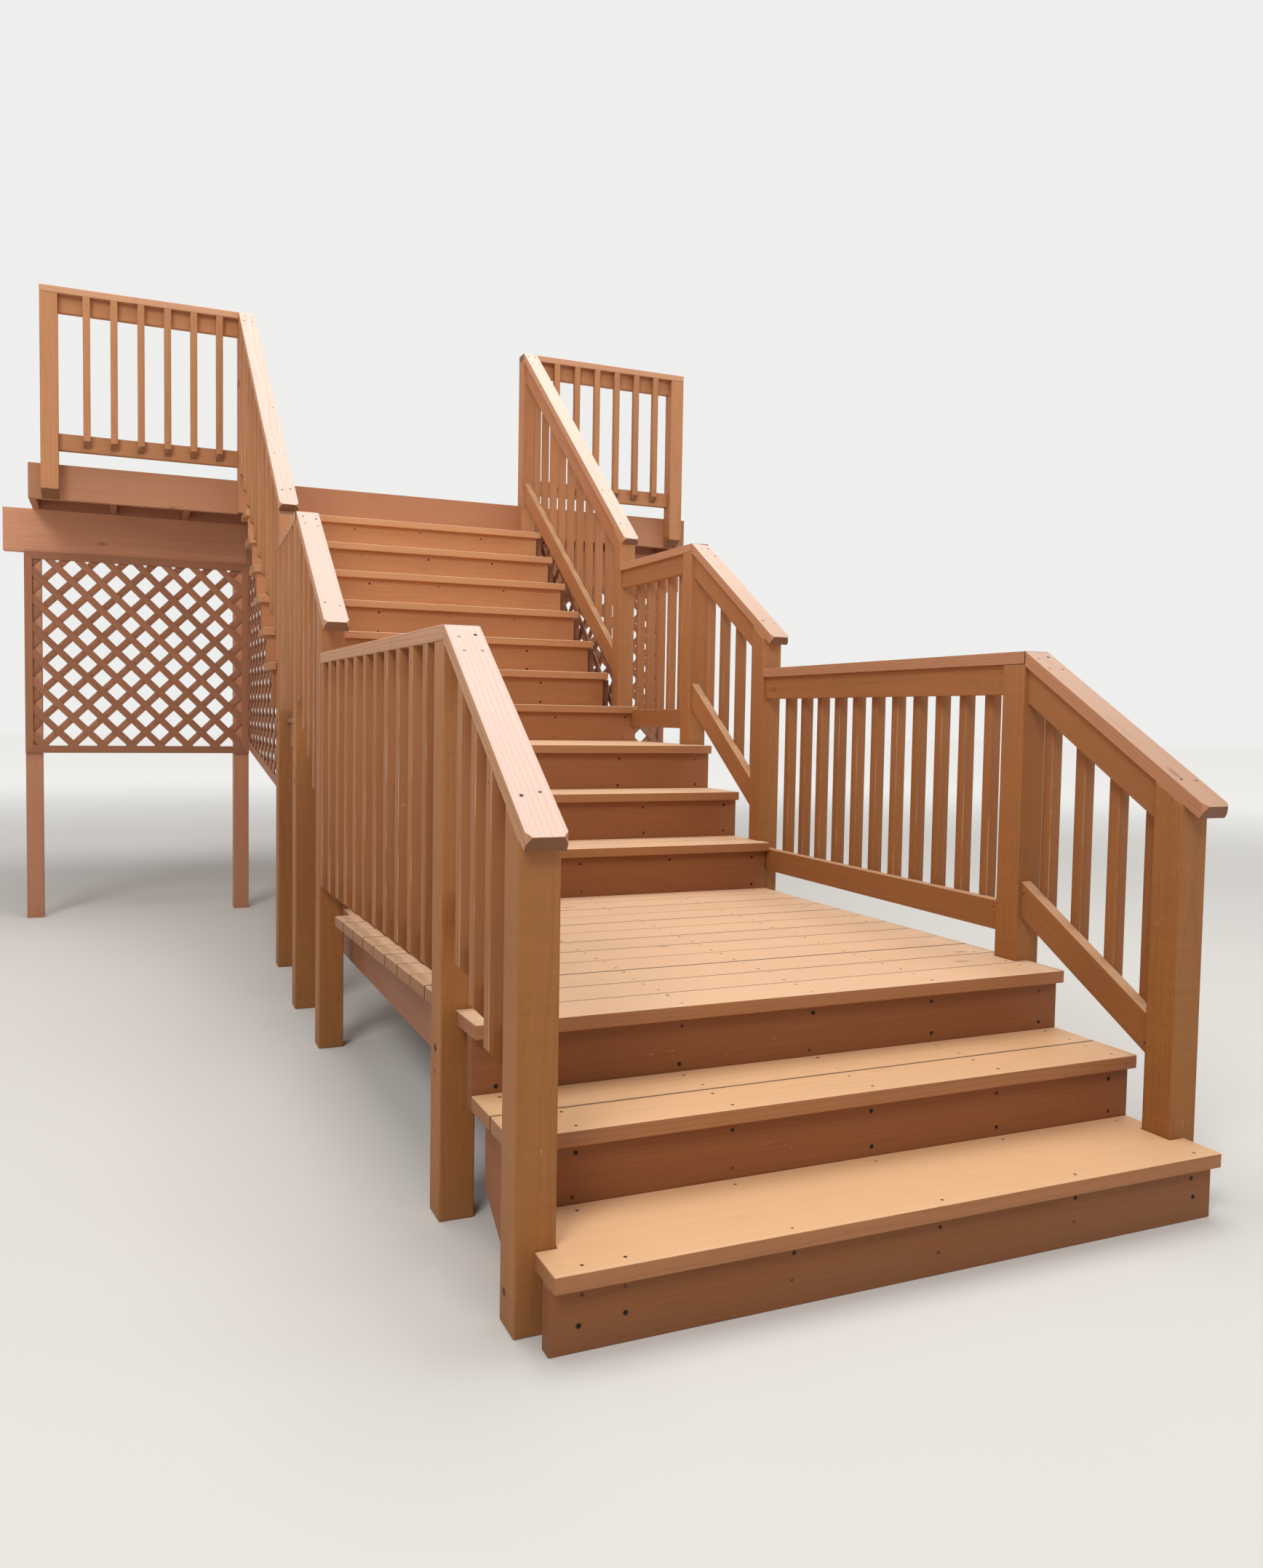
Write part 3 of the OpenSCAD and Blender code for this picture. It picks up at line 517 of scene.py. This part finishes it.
# Treads and landings
# Boards of two-inch lumber make the treads, two to a step but one wide one on the lowest, and the
# floors of the landings. Feet and sun have faded the stain on top to a light tan.
def close_seam(work, z_top):
    """Joins the two boards of the step at this height into one wide board."""
    same_level, same_place, off_notches = 0.001, 1e-5, 0.5
    pair = [board for board in boards_in(work) if abs(board.span(2)[1] - z_top) < same_level]
    front, back = sorted(pair, key=lambda board: board.span(1)[0])
    front_end, seam = front.span(1)[1], back.span(1)[0]
    for vert in front.verts:
        if abs(vert.co.y - front_end) < same_place:
            vert.co.y = seam
    bmesh.ops.remove_doubles(work, verts=work.verts, dist=weld_reach)
    inside = [face for face in work.faces if all(abs(vert.co.y - seam) < same_place for vert in face.verts)
              and face.calc_center_median().z < z_top and abs(face.calc_center_median().x) < off_notches]
    bmesh.ops.delete(work, geom=inside, context="FACES_ONLY")
    bmesh.ops.dissolve_limit(work, angle_limit=flat_turn, verts=work.verts, edges=work.edges)


def seams_in(boards):
    """The narrow gaps between neighbouring boards, each as its place along Y and its top."""
    widest, same_level = 0.006, 0.001
    found = []
    for board in boards:
        for other in boards:
            gap = other.span(1)[0] - board.span(1)[1]
            if 0 < gap < widest and abs(other.span(2)[1] - board.span(2)[1]) < same_level:
                found.append((board.span(1)[1] + gap / 2, board.span(2)[1]))
    return found


def paint_seam_shade_and_dirt(piece, seams):
    """Paints near-black shade and dirt down the boards' sides in the gaps, and dirt on some gaps' upper
    edges.
    """
    side_reach, side_depth, gap_shade_and_dirt = 0.0032, 0.0008, 0.92
    edge_reach, edge_depth, edge_dirt = 0.0045, 0.0002, 0.8
    dirt = piece.data.attributes.new("painted_shade_and_dirt", "FLOAT", "POINT")
    for vert, spot in zip(piece.data.vertices, dirt.data):
        for y, z in seams:
            if abs(vert.co.y - y) < side_reach and vert.co.z < z - side_depth:
                spot.value = gap_shade_and_dirt
            elif abs(vert.co.y - y) < edge_reach and vert.co.z < z - edge_depth:
                spot.value = edge_dirt * chance_of((y, z, 0)) ** 2


def deck_screws(boards, lines):
    """Two screws in each board over each line of the frame below it."""
    from_side, from_end, drift_x, drift_y = 0.028, 0.02, 0.014, 0.012
    spots = []
    for board in boards:
        (x_low, x_high), (y_low, y_high), (z_low, z_high) = (board.span(axis) for axis in range(3))
        margin = min(from_side, (y_high - y_low) / 4)
        for x in lines:
            for y in (y_low + margin, y_high - margin):
                if x_low + from_end < x < x_high - from_end:
                    drift = chance_of((x, y, z_high)) - 0.5
                    spots.append(((x + drift_x * drift, y + drift_y * drift, z_high), (0, 0, 1)))
    return spots


deck_screw, deck_rounding = 0.0048, 0.004
# The treads' upright faces blend to the lighter second colour higher up: painted sunlight.
tread_side, tread_sunlit_high = (0.345, 0.140, 0.050), (0.66, 0.330, 0.160)
tread_stain, landing_stain = (stained(
    name, tread_side, tread_sunlit_high, top, tone=0.07, figure=0.12, worn=0.45, flecks=0.45, gloss=0.42)
    for name, top in (("tread_stain", (0.79, 0.475, 0.258)), ("landing_stain", (0.83, 0.54, 0.335))))
for node, finish in (("treads_lower", tread_stain), ("treads_middle", landing_stain),
                     ("treads_upper", landing_stain), ("landing_long_boards", landing_stain),
                     ("landing_short_boards", landing_stain)):
    work = welded(node)
    if node == "treads_lower":
        close_seam(work, min(board.span(2)[1] for board in boards_in(work)))
    boards = boards_in(work)
    tread_screws, seams = deck_screws(boards, stringer_lines), seams_in(boards)
    floor_piece = rounded_boards(work, node + "_boards", deck_rounding, 3)
    paint_seam_shade_and_dirt(floor_piece, seams)
    seat(floor_piece, [node], finish)
    screws(node + "_screws", tread_screws, finish, radius=deck_screw, seed=5)


# Porch deck
# The porch floor is laid in deck boards behind a deep rim board, whose ends are nailed over the side
# rims. Joists, a ledger along the back, a beam set back from the rim and four legs carry it.
porch_stain = stained("porch_stain", (0.40, 0.175, 0.085), (0.50, 0.228, 0.120), (0.60, 0.35, 0.21),
                      tone=0.10, worn=0.35, flecks=0.5)
work = welded("porch_boards")
boards = boards_in(work)
porch_screws, seams = deck_screws(boards, middles("porch_joists", 0)), seams_in(boards)
porch_floor = rounded_boards(work, "porch_floor_boards", deck_rounding, 3)
paint_seam_shade_and_dirt(porch_floor, seams)
seat(porch_floor, ["porch_boards"], tread_stain)
screws("porch_floor_screws", porch_screws, tread_stain, radius=deck_screw, seed=7)
seat(rounded_boards(welded("porch_rim"), "porch_rim_boards", deck_rounding), ["porch_rim"],
     porch_stain)
# The beam and legs get a lighter copy of the stain: painted light, offsetting the shade that they stand in
# under the porch.
beam_lit_stain = stained("beam_lit_stain", (0.45, 0.20, 0.11), (0.68, 0.32, 0.18), (0.62, 0.36, 0.22), worn=0.3)
for node, finish in (("porch_joists", frame_stain), ("porch_ledger", frame_stain),
                     ("porch_beam", beam_lit_stain), ("porch_legs", beam_lit_stain)):
    seat(rounded_boards(welded(node), node + "_boards"), [node], finish)


# Posts
# Square four-inch posts run from the ground to the caps, with their heads cut to the caps' slope, and
# show the saw's marks across the grain. They are bolted to the frame below the boards. The porch's four
# posts are lapped on the rim with bevelled feet.
def deck_level(y):
    """The height of the tread or landing board that lies over this place along the stairs."""
    beside = 0.004
    heights = [0.0]
    for node in ("treads_lower", "landing_long_boards", "treads_middle", "landing_short_boards",
                 "treads_upper"):
        work = welded(node)
        for board in boards_in(work):
            y_low, y_high = board.span(1)
            if y_low - beside < y < y_high + beside:
                heights.append(board.span(2)[1])
        work.free()
    return max(heights)


bolt_drops, bolt_radius, bolt_drift, clear_of_ground = (0.105, 0.165), 0.013, 0.03, 0.04
post_rounding = 0.005
post_stain = stained("post_stain", (0.330, 0.131, 0.039), (0.51, 0.230, 0.105), (0.60, 0.34, 0.20),
                     tone=0.08, saw=0.28, worn=0.5, flecks=0.25, gloss=0.2, sawn=0.6)
for node, outer, out in (("posts_left", 0, -1), ("posts_right", 1, 1), ("porch_posts", 0, 0)):
    work = welded(node)
    bolts = []
    for post in boards_in(work):
        level_here = deck_level(post.middle.y)
        for drop in bolt_drops:
            drift = chance_of((post.middle.x, post.middle.y, drop)) - 0.5
            place = (post.span(0)[outer], post.middle.y + bolt_drift * drift, level_here - drop)
            if out and level_here > drop + clear_of_ground:
                bolts.append((place, (out, 0, 0)))
    seat(rounded_boards(work, node + "_boards", post_rounding, 3), [node], post_stain)
    if bolts:
        screws(node + "_bolts", bolts, post_stain, radius=bolt_radius, seed=9)


# Guards
# Each bay of a guard has two rails on edge between its posts, and square balusters nailed to their
# outer faces. The balusters' feet are cut at a slant, and their heads follow the cap above.
stick_tree, stick_in = start_tree("sticks", {
    "Width": ("Float", 0.038), "Thickness": ("Float", 0.038), "Rounding": ("Float", 0.003),
    "Seed": ("Int", 1), "Finish": ("Material", None)})
section = put(stick_tree, "GeometryNodeCurvePrimitiveQuadrilateral", [
    ("Width", stick_in["Width"]), ("Height", stick_in["Thickness"])]).outputs[0]
eased = put(stick_tree, "GeometryNodeFilletCurve", [
    (0, section), ("Count", 2), ("Radius", stick_in["Rounding"])], mode="POLY").outputs[0]
length = put(stick_tree, "GeometryNodeCurvePrimitiveLine", [("Start", (0, 0, 0)), ("End", (0, 0, 1))])
stick = put(stick_tree, "GeometryNodeCurveToMesh", [
    ("Curve", length.outputs[0]), ("Profile Curve", eased), ("Fill Caps", True)]).outputs[0]
within = put(stick_tree, "GeometryNodeInputPosition").outputs[0]
stick = keep(stick_tree, stick, "local", within, "FLOAT_VECTOR")
inside_x, inside_y = put(stick_tree, "ShaderNodeSeparateXYZ", [(0, within)]).outputs[:2]


def stick_maths(kind, a, b=0.0):
    """The result of a Math node in the sticks' tree."""
    return maths_in(stick_tree, kind, a, b)


just_over_twice, faces_end = 2.002, 0.5
to_side = stick_maths("MULTIPLY", stick_maths("ABSOLUTE", inside_x), just_over_twice)
to_face = stick_maths("MULTIPLY", stick_maths("ABSOLUTE", inside_y), just_over_twice)
on_corner = stick_maths("MULTIPLY", stick_maths("LESS_THAN", to_side, stick_in["Width"]),
                        stick_maths("LESS_THAN", to_face, stick_in["Thickness"]))
stick = keep(stick_tree, stick, "edge", on_corner)
end_normal = put(stick_tree, "ShaderNodeSeparateXYZ", [
    (0, put(stick_tree, "GeometryNodeInputNormal").outputs[0])]).outputs[2]
is_end = stick_maths("GREATER_THAN", stick_maths("ABSOLUTE", end_normal), faces_end)
stick = keep(stick_tree, stick, "end", is_end, domain="FACE")
sticks_set = put(stick_tree, "GeometryNodeInstanceOnPoints", [
    ("Points", stick_in["Geometry"]), ("Instance", stick)]).outputs[0]
stick_number = put(stick_tree, "FunctionNodeRandomValue", [("Seed", stick_in["Seed"])], data_type="FLOAT")
sticks_set = keep(stick_tree, sticks_set, "board", stick_number.outputs[1], domain="INSTANCE")
sticks_real = put(stick_tree, "GeometryNodeRealizeInstances", [(0, sticks_set)]).outputs[0]
local = kept(stick_tree, "local", "FLOAT_VECTOR")
local_x, local_y, local_z = put(stick_tree, "ShaderNodeSeparateXYZ", [(0, local)]).outputs
level_place = put(stick_tree, "ShaderNodeCombineXYZ", [(0, 1.0), (1, local_x), (2, local_y)]).outputs[0]


def cut_line(name):
    """How far along the stick its end lies here: a middle value and a slope each way across it."""
    return put(stick_tree, "ShaderNodeVectorMath", [
        (0, kept(stick_tree, name, "FLOAT_VECTOR")), (1, level_place)],
        operation="DOT_PRODUCT").outputs["Value"]


def carried(name, amount, start):
    """A place moved along one of the stick's own directions."""
    return put(stick_tree, "ShaderNodeVectorMath", [
        (0, kept(stick_tree, name, "FLOAT_VECTOR")),
        (1, put(stick_tree, "ShaderNodeCombineXYZ", [(0, amount), (1, amount), (2, amount)]).outputs[0]),
        (2, start)], operation="MULTIPLY_ADD").outputs[0]


along_stick = put(stick_tree, "ShaderNodeMapRange", [
    ("Value", local_z), ("To Min", cut_line("foot")), ("To Max", cut_line("head"))]).outputs[0]
root_place = put(stick_tree, "ShaderNodeVectorMath", [
    (0, put(stick_tree, "GeometryNodeInputPosition").outputs[0]), (1, local)],
    operation="SUBTRACT").outputs[0]
stick_place = carried("face", local_y, carried("side", local_x, carried("run", along_stick, root_place)))
grain_place = put(stick_tree, "ShaderNodeCombineXYZ", [(0, along_stick), (1, local_x), (2, local_y)])
sticks_real = keep(stick_tree, sticks_real, "grain", grain_place.outputs[0], "FLOAT_VECTOR")
sticks_real = put(stick_tree, "GeometryNodeSetPosition", [
    (0, sticks_real), ("Position", stick_place)]).outputs[0]
end_tree(stick_tree, sticks_real, stick_in["Finish"])


def sticks(name, cut, sizes):
    """Sticks with slanted ends. cut gives each one's place, its directions along, across and through it,
    and its foot and head, each a distance along it and that distance's slopes across and through."""
    piece = grown(name, stick_tree, [one[0] for one in cut],
                  {key: [one[k + 1] for one in cut] for k, key in enumerate(
                      ("run", "side", "face", "foot", "head"))}, sizes)
    piece.data.attributes.remove(piece.data.attributes["local"])
    return piece


def sliced(work, place, outward, outer):
    """The outer or the inner side of a mesh that is cut in two, with the cut closed."""
    part = work.copy()
    made = bmesh.ops.bisect_plane(part, geom=part.verts[:] + part.edges[:] + part.faces[:], dist=1e-6,
                                  plane_co=place, plane_no=outward, clear_inner=outer,
                                  clear_outer=not outer)
    rim = [item for item in made["geom_cut"] if isinstance(item, bmesh.types.BMEdge)]
    bmesh.ops.holes_fill(part, edges=[edge for edge in rim if edge.is_boundary])
    bmesh.ops.dissolve_limit(part, angle_limit=flat_turn, verts=part.verts, edges=part.edges)
    bmesh.ops.recalc_face_normals(part, faces=part.faces)
    return part


def end_cut(board, run, side, face, top):
    """A stick's foot or head, measured on its corners: its middle and its slopes each way across."""
    corners = {}
    for vert in board.verts:
        off = vert.co - board.middle
        key = (off.dot(side) > 0, off.dot(face) > 0)
        corners.setdefault(key, []).append(vert.co.dot(run))
    reach = {key: max(values) if top else min(values) for key, values in corners.items()}
    wide, deep = 2 * board.half[1], 2 * board.half[2]
    over = sum(reach[(True, far)] - reach[(False, far)] for far in (True, False)) / 2
    through = sum(reach[(far, True)] - reach[(far, False)] for far in (True, False)) / 2
    return Vector((sum(reach.values()) / 4, over / wide, through / deep))


guard_stain = stained("guard_stain", (0.304, 0.121, 0.041), (0.49, 0.218, 0.098), (0.60, 0.34, 0.19),
                      tone=0.16, worn=0.4, flecks=0.3, gloss=0.2, sawn=0.5)
upward = Vector((0, 0, 1))
rail_nail_inset, nail_pair = 0.030, (-0.024, 0.022)
nail_above_foot, nail_below_head, nail_drift, nail_radius = 0.055, 0.045, 0.012, 0.0030
cut_play, sunk_in, bar_rounding = 1e-4, 5e-5, 0.003
for node in [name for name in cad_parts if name.startswith("guard_")]:
    work = welded(node)
    inner = max(work.faces, key=lambda face: face.calc_area())
    outward = -inner.normal.copy()
    side = upward.cross(outward)
    base = inner.calc_center_median().dot(outward)
    depth = max(vert.co.dot(outward) for vert in work.verts) - base
    rails = sliced(work, outward * (base + depth / 2 - cut_play), outward, False)
    bars = sliced(work, outward * (base + depth / 2 + cut_play), outward, True)
    work.free()
    nails, cut = [], []
    for rail in boards_in(rails):
        inward = 1 if rail.axes[2].dot(outward) < 0 else -1
        for s in (-rail.half[0] + rail_nail_inset, rail.half[0] - rail_nail_inset):
            for t in nail_pair:
                place = rail.at(s, t, inward * rail.half[2])
                nails.append((place, -outward))
    for bar in boards_in(bars):
        bar.axes = (upward, side, outward)
        spans = [[vert.co.dot(axis) for vert in bar.verts] for axis in bar.axes]
        bar.half = [(max(span) - min(span)) / 2 for span in spans]
        bar.middle = sum((axis * (max(span) + min(span)) / 2 for axis, span in zip(bar.axes, spans)),
                         Vector())
        foot, head = (end_cut(bar, upward, side, outward, top) for top in (False, True))
        root = Vector((bar.middle.x, bar.middle.y, 0)) - outward * sunk_in
        cut.append((root, upward, side, outward, foot, head))
        for z in (foot.x + nail_above_foot, head.x - nail_below_head):
            drift = chance_of((bar.middle.x, bar.middle.y, z)) - 0.5
            place = Vector((bar.middle.x, bar.middle.y, z)) + outward * (bar.half[2] - sunk_in)
            nails.append((place + side * nail_drift * drift, outward))
    bars.free()
    seat(rounded_boards(rails, node + "_rails"), [node], guard_stain)
    balusters = sticks(node + "_balusters", cut, {
        "Width": depth / 2, "Thickness": depth / 2, "Rounding": bar_rounding,
        "Seed": 11 + len(cut), "Finish": guard_stain})
    seat(balusters, [node], guard_stain)
    screws(node + "_nails", nails, guard_stain, radius=nail_radius, seed=13)


# Caps
# Flat two-by-four boards cap the posts and rails, screwed down in pairs. The sloped ones end in clipped
# corners of rough end grain. The left ones and the porch's are a pale peach that shows their grain, and the
# right ones a brown that turns pale higher up, as painted sunlight.
pale_stain = stained("pale_cap_stain", (0.42, 0.200, 0.090), (0.60, 0.30, 0.165), (0.84, 0.575, 0.490),
                     tone=0.04, figure=0.24, worn=0.3, flecks=0.15, gloss=0.42, sawn=0.9)
brown_stain = stained("brown_cap_stain", (0.42, 0.185, 0.090), (0.60, 0.30, 0.165), (0.44, 0.215, 0.105),
                      (0.85, 0.630, 0.520), tone=0.04, figure=0.16, worn=0.3, flecks=0.2, gloss=0.42,
                      sawn=0.9)
pair_above_foot, pairs_below_head, pair_pitch, ends_clear = 0.125, (0.045, 0.110), 0.45, 0.25
slide, sway, cap_screw, cap_rounding = 0.03, 0.008, 0.0056, 0.004
for node, cap_stain in (("caps_left", pale_stain), ("caps_right", brown_stain),
                        ("porch_caps", pale_stain)):
    work = welded(node)
    cap_screws = []
    for cap in boards_in(work):
        run = cap.half[0]
        between = range(1, int((2 * run - ends_clear) / pair_pitch))
        rows = [-run + pair_above_foot] + [run - below for below in pairs_below_head]
        for s in rows + [-run + pair_pitch * k for k in between]:
            for t in nail_pair:
                drift = chance_of(cap.at(s, t, 0)) - 0.5
                place = cap.at(s + slide * drift, t + sway * drift, cap.half[2])
                cap_screws.append((place, cap.axes[2]))
    seat(rounded_boards(work, node + "_boards", cap_rounding, 3), [node], cap_stain)
    screws(node + "_screws", cap_screws, cap_stain, radius=cap_screw, seed=17)


# Lattice skirts
# Two layers of thin laths cross under the porch and beside the upper flight, stapled together where
# they cross, in a frame of narrow boards that covers their ends.
lath_width, lath_thick, lath_pitch, lath_shift, lath_clear = 0.041, 0.008, 0.116, 0.027, 0.003
trim_width, strip_width, trim_thick, trim_lift = 0.044, 0.014, 0.020, 0.0004
lath_rounding, trim_rounding, sloping = 0.0012, 0.002, (0.4, 0.9)
lattice_stain = stained("lattice_stain", (0.34, 0.140, 0.070), (0.41, 0.172, 0.088), (0.50, 0.27, 0.15),
                        tone=0.18, worn=0.2, flecks=0.2)


def hull_of(points):
    """The corners of the convex outline round flat points, in order, anticlockwise."""
    straight = 1e-6
    ordered, outline = [Vector(point) for point in sorted(points)], []
    for sweep in (ordered, ordered[::-1]):
        chain = []
        for point in sweep:
            while len(chain) > 1 and (chain[-1] - chain[-2]).cross(point - chain[-1]) < straight:
                chain.pop()
            chain.append(point)
        outline += chain[:-1]
    return outline


def inset(outline, widths):
    """The outline moved inwards, each of its sides by its own width."""
    moved = []
    for k, corner in enumerate(outline):
        before = (corner - outline[k - 1]).normalized()
        after = (outline[(k + 1) % len(outline)] - corner).normalized()
        moved.append(corner + (after * widths[k - 1] - before * widths[k]) / before.cross(after))
    return moved


def clipped(place, run, outline):
    """The stretch of a line that lies in an outline, as its first and last distance from a place."""
    far = 100.0
    first, last = -far, far
    for k, corner in enumerate(outline):
        edge = outline[(k + 1) % len(outline)] - corner
        gain, start = edge.cross(run), edge.cross(place - corner)
        if gain > 0:
            first = max(first, -start / gain)
        elif gain < 0:
            last = min(last, -start / gain)
    return first, last


def laths_over(outline, middle, reach, solid, face):
    """Laths in two crossed layers, each cut to the outline where its two edges meet it. solid turns a
    place on the panel into one in space, and face is the way that the panel faces."""
    cut = []
    count = math.ceil(reach / lath_pitch)
    for layer, turn in enumerate((-math.pi / 4, math.pi / 4)):
        run = Vector((-math.sin(turn), math.cos(turn)))
        side = Vector((math.cos(turn), math.sin(turn)))
        directions = [solid(way) - solid(Vector((0, 0))) for way in (run, side)]
        for k in range(count + 1):
            root = middle + side * (k - count / 2) * lath_pitch
            spans = [clipped(root + side * edge * lath_width / 2, run, outline) for edge in (-1, 1)]
            if all(first >= last for first, last in spans):
                continue
            spans = [(first, last) if first < last else ((first + last) / 2,) * 2
                     for first, last in spans]
            foot, head = (Vector(((a + b) / 2, (b - a) / lath_width, 0)) for a, b in zip(*spans))
            cut.append((solid(root) + face * (layer + 0.5) * lath_thick, *directions, face, foot, head))
    return cut


def trim_round(outline, opening, solid, face):
    """The narrow boards between an outline and its opening, mitred at the corners."""
    work = bmesh.new()
    for k, corner in enumerate(outline):
        after = (k + 1) % len(outline)
        quad = (corner, outline[after], opening[after], opening[k])
        back, front = ([work.verts.new(solid(point) + face * lift) for point in quad]
                       for lift in (trim_lift, trim_thick))
        work.faces.new(back[::-1])
        work.faces.new(front)
        for i in range(4):
            work.faces.new((back[i], back[(i + 1) % 4], front[(i + 1) % 4], front[i]))
    bmesh.ops.recalc_face_normals(work, faces=work.faces)
    return work


for node in [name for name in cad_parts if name.startswith("lattice_")]:
    low, high = (Vector(corner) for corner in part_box(node))
    work = welded(node)
    in_front = node.startswith("lattice_front")
    if in_front:
        face, base, run_axis, shift = Vector((0, -1, 0)), high.y, 0, lath_shift
    elif node.endswith("left"):
        face, base, run_axis, shift = Vector((-1, 0, 0)), high.x, 1, 0.0
    else:
        face, base, run_axis, shift = Vector((1, 0, 0)), low.x, 1, 0.0
    if node == "lattice_front_right":
        shift = -shift

    def solid(point):
        """A place on the panel as one in space."""
        return Vector((point.x, base, point.y) if run_axis == 0 else (base, point.x, point.y))

    outline = hull_of({(round(vert.co[run_axis], 4), round(vert.co.z, 4)) for vert in work.verts})
    work.free()
    foot_z = low.z + trim_width if in_front else low.z

    # The width of the trim along each side, and how far inside each side the laths end
    sides = list(zip(outline, outline[1:] + outline[:1]))
    rises = [abs((after - corner).normalized().y) for corner, after in sides]
    widths = [strip_width if node == "lattice_side_right" and sloping[0] < rise < sloping[1]
              else trim_width for rise in rises]
    under = [trim_width if in_front and corner.y == after.y == low.z else lath_clear
             for corner, after in sides]
    middle = Vector(((low[run_axis] + high[run_axis]) / 2 + shift, (foot_z + high.z) / 2))
    reach = high[run_axis] - low[run_axis] + high.z - foot_z
    laths = sticks(node + "_laths", laths_over(inset(outline, under), middle, reach, solid, face), {
        "Width": lath_width, "Thickness": lath_thick, "Rounding": lath_rounding, "Seed": 23,
        "Finish": lattice_stain})
    seat(laths, [node], lattice_stain)
    trim = rounded_boards(trim_round(outline, inset(outline, widths), solid, face), node + "_trim",
                          trim_rounding)
    seat(trim, [node], lattice_stain)
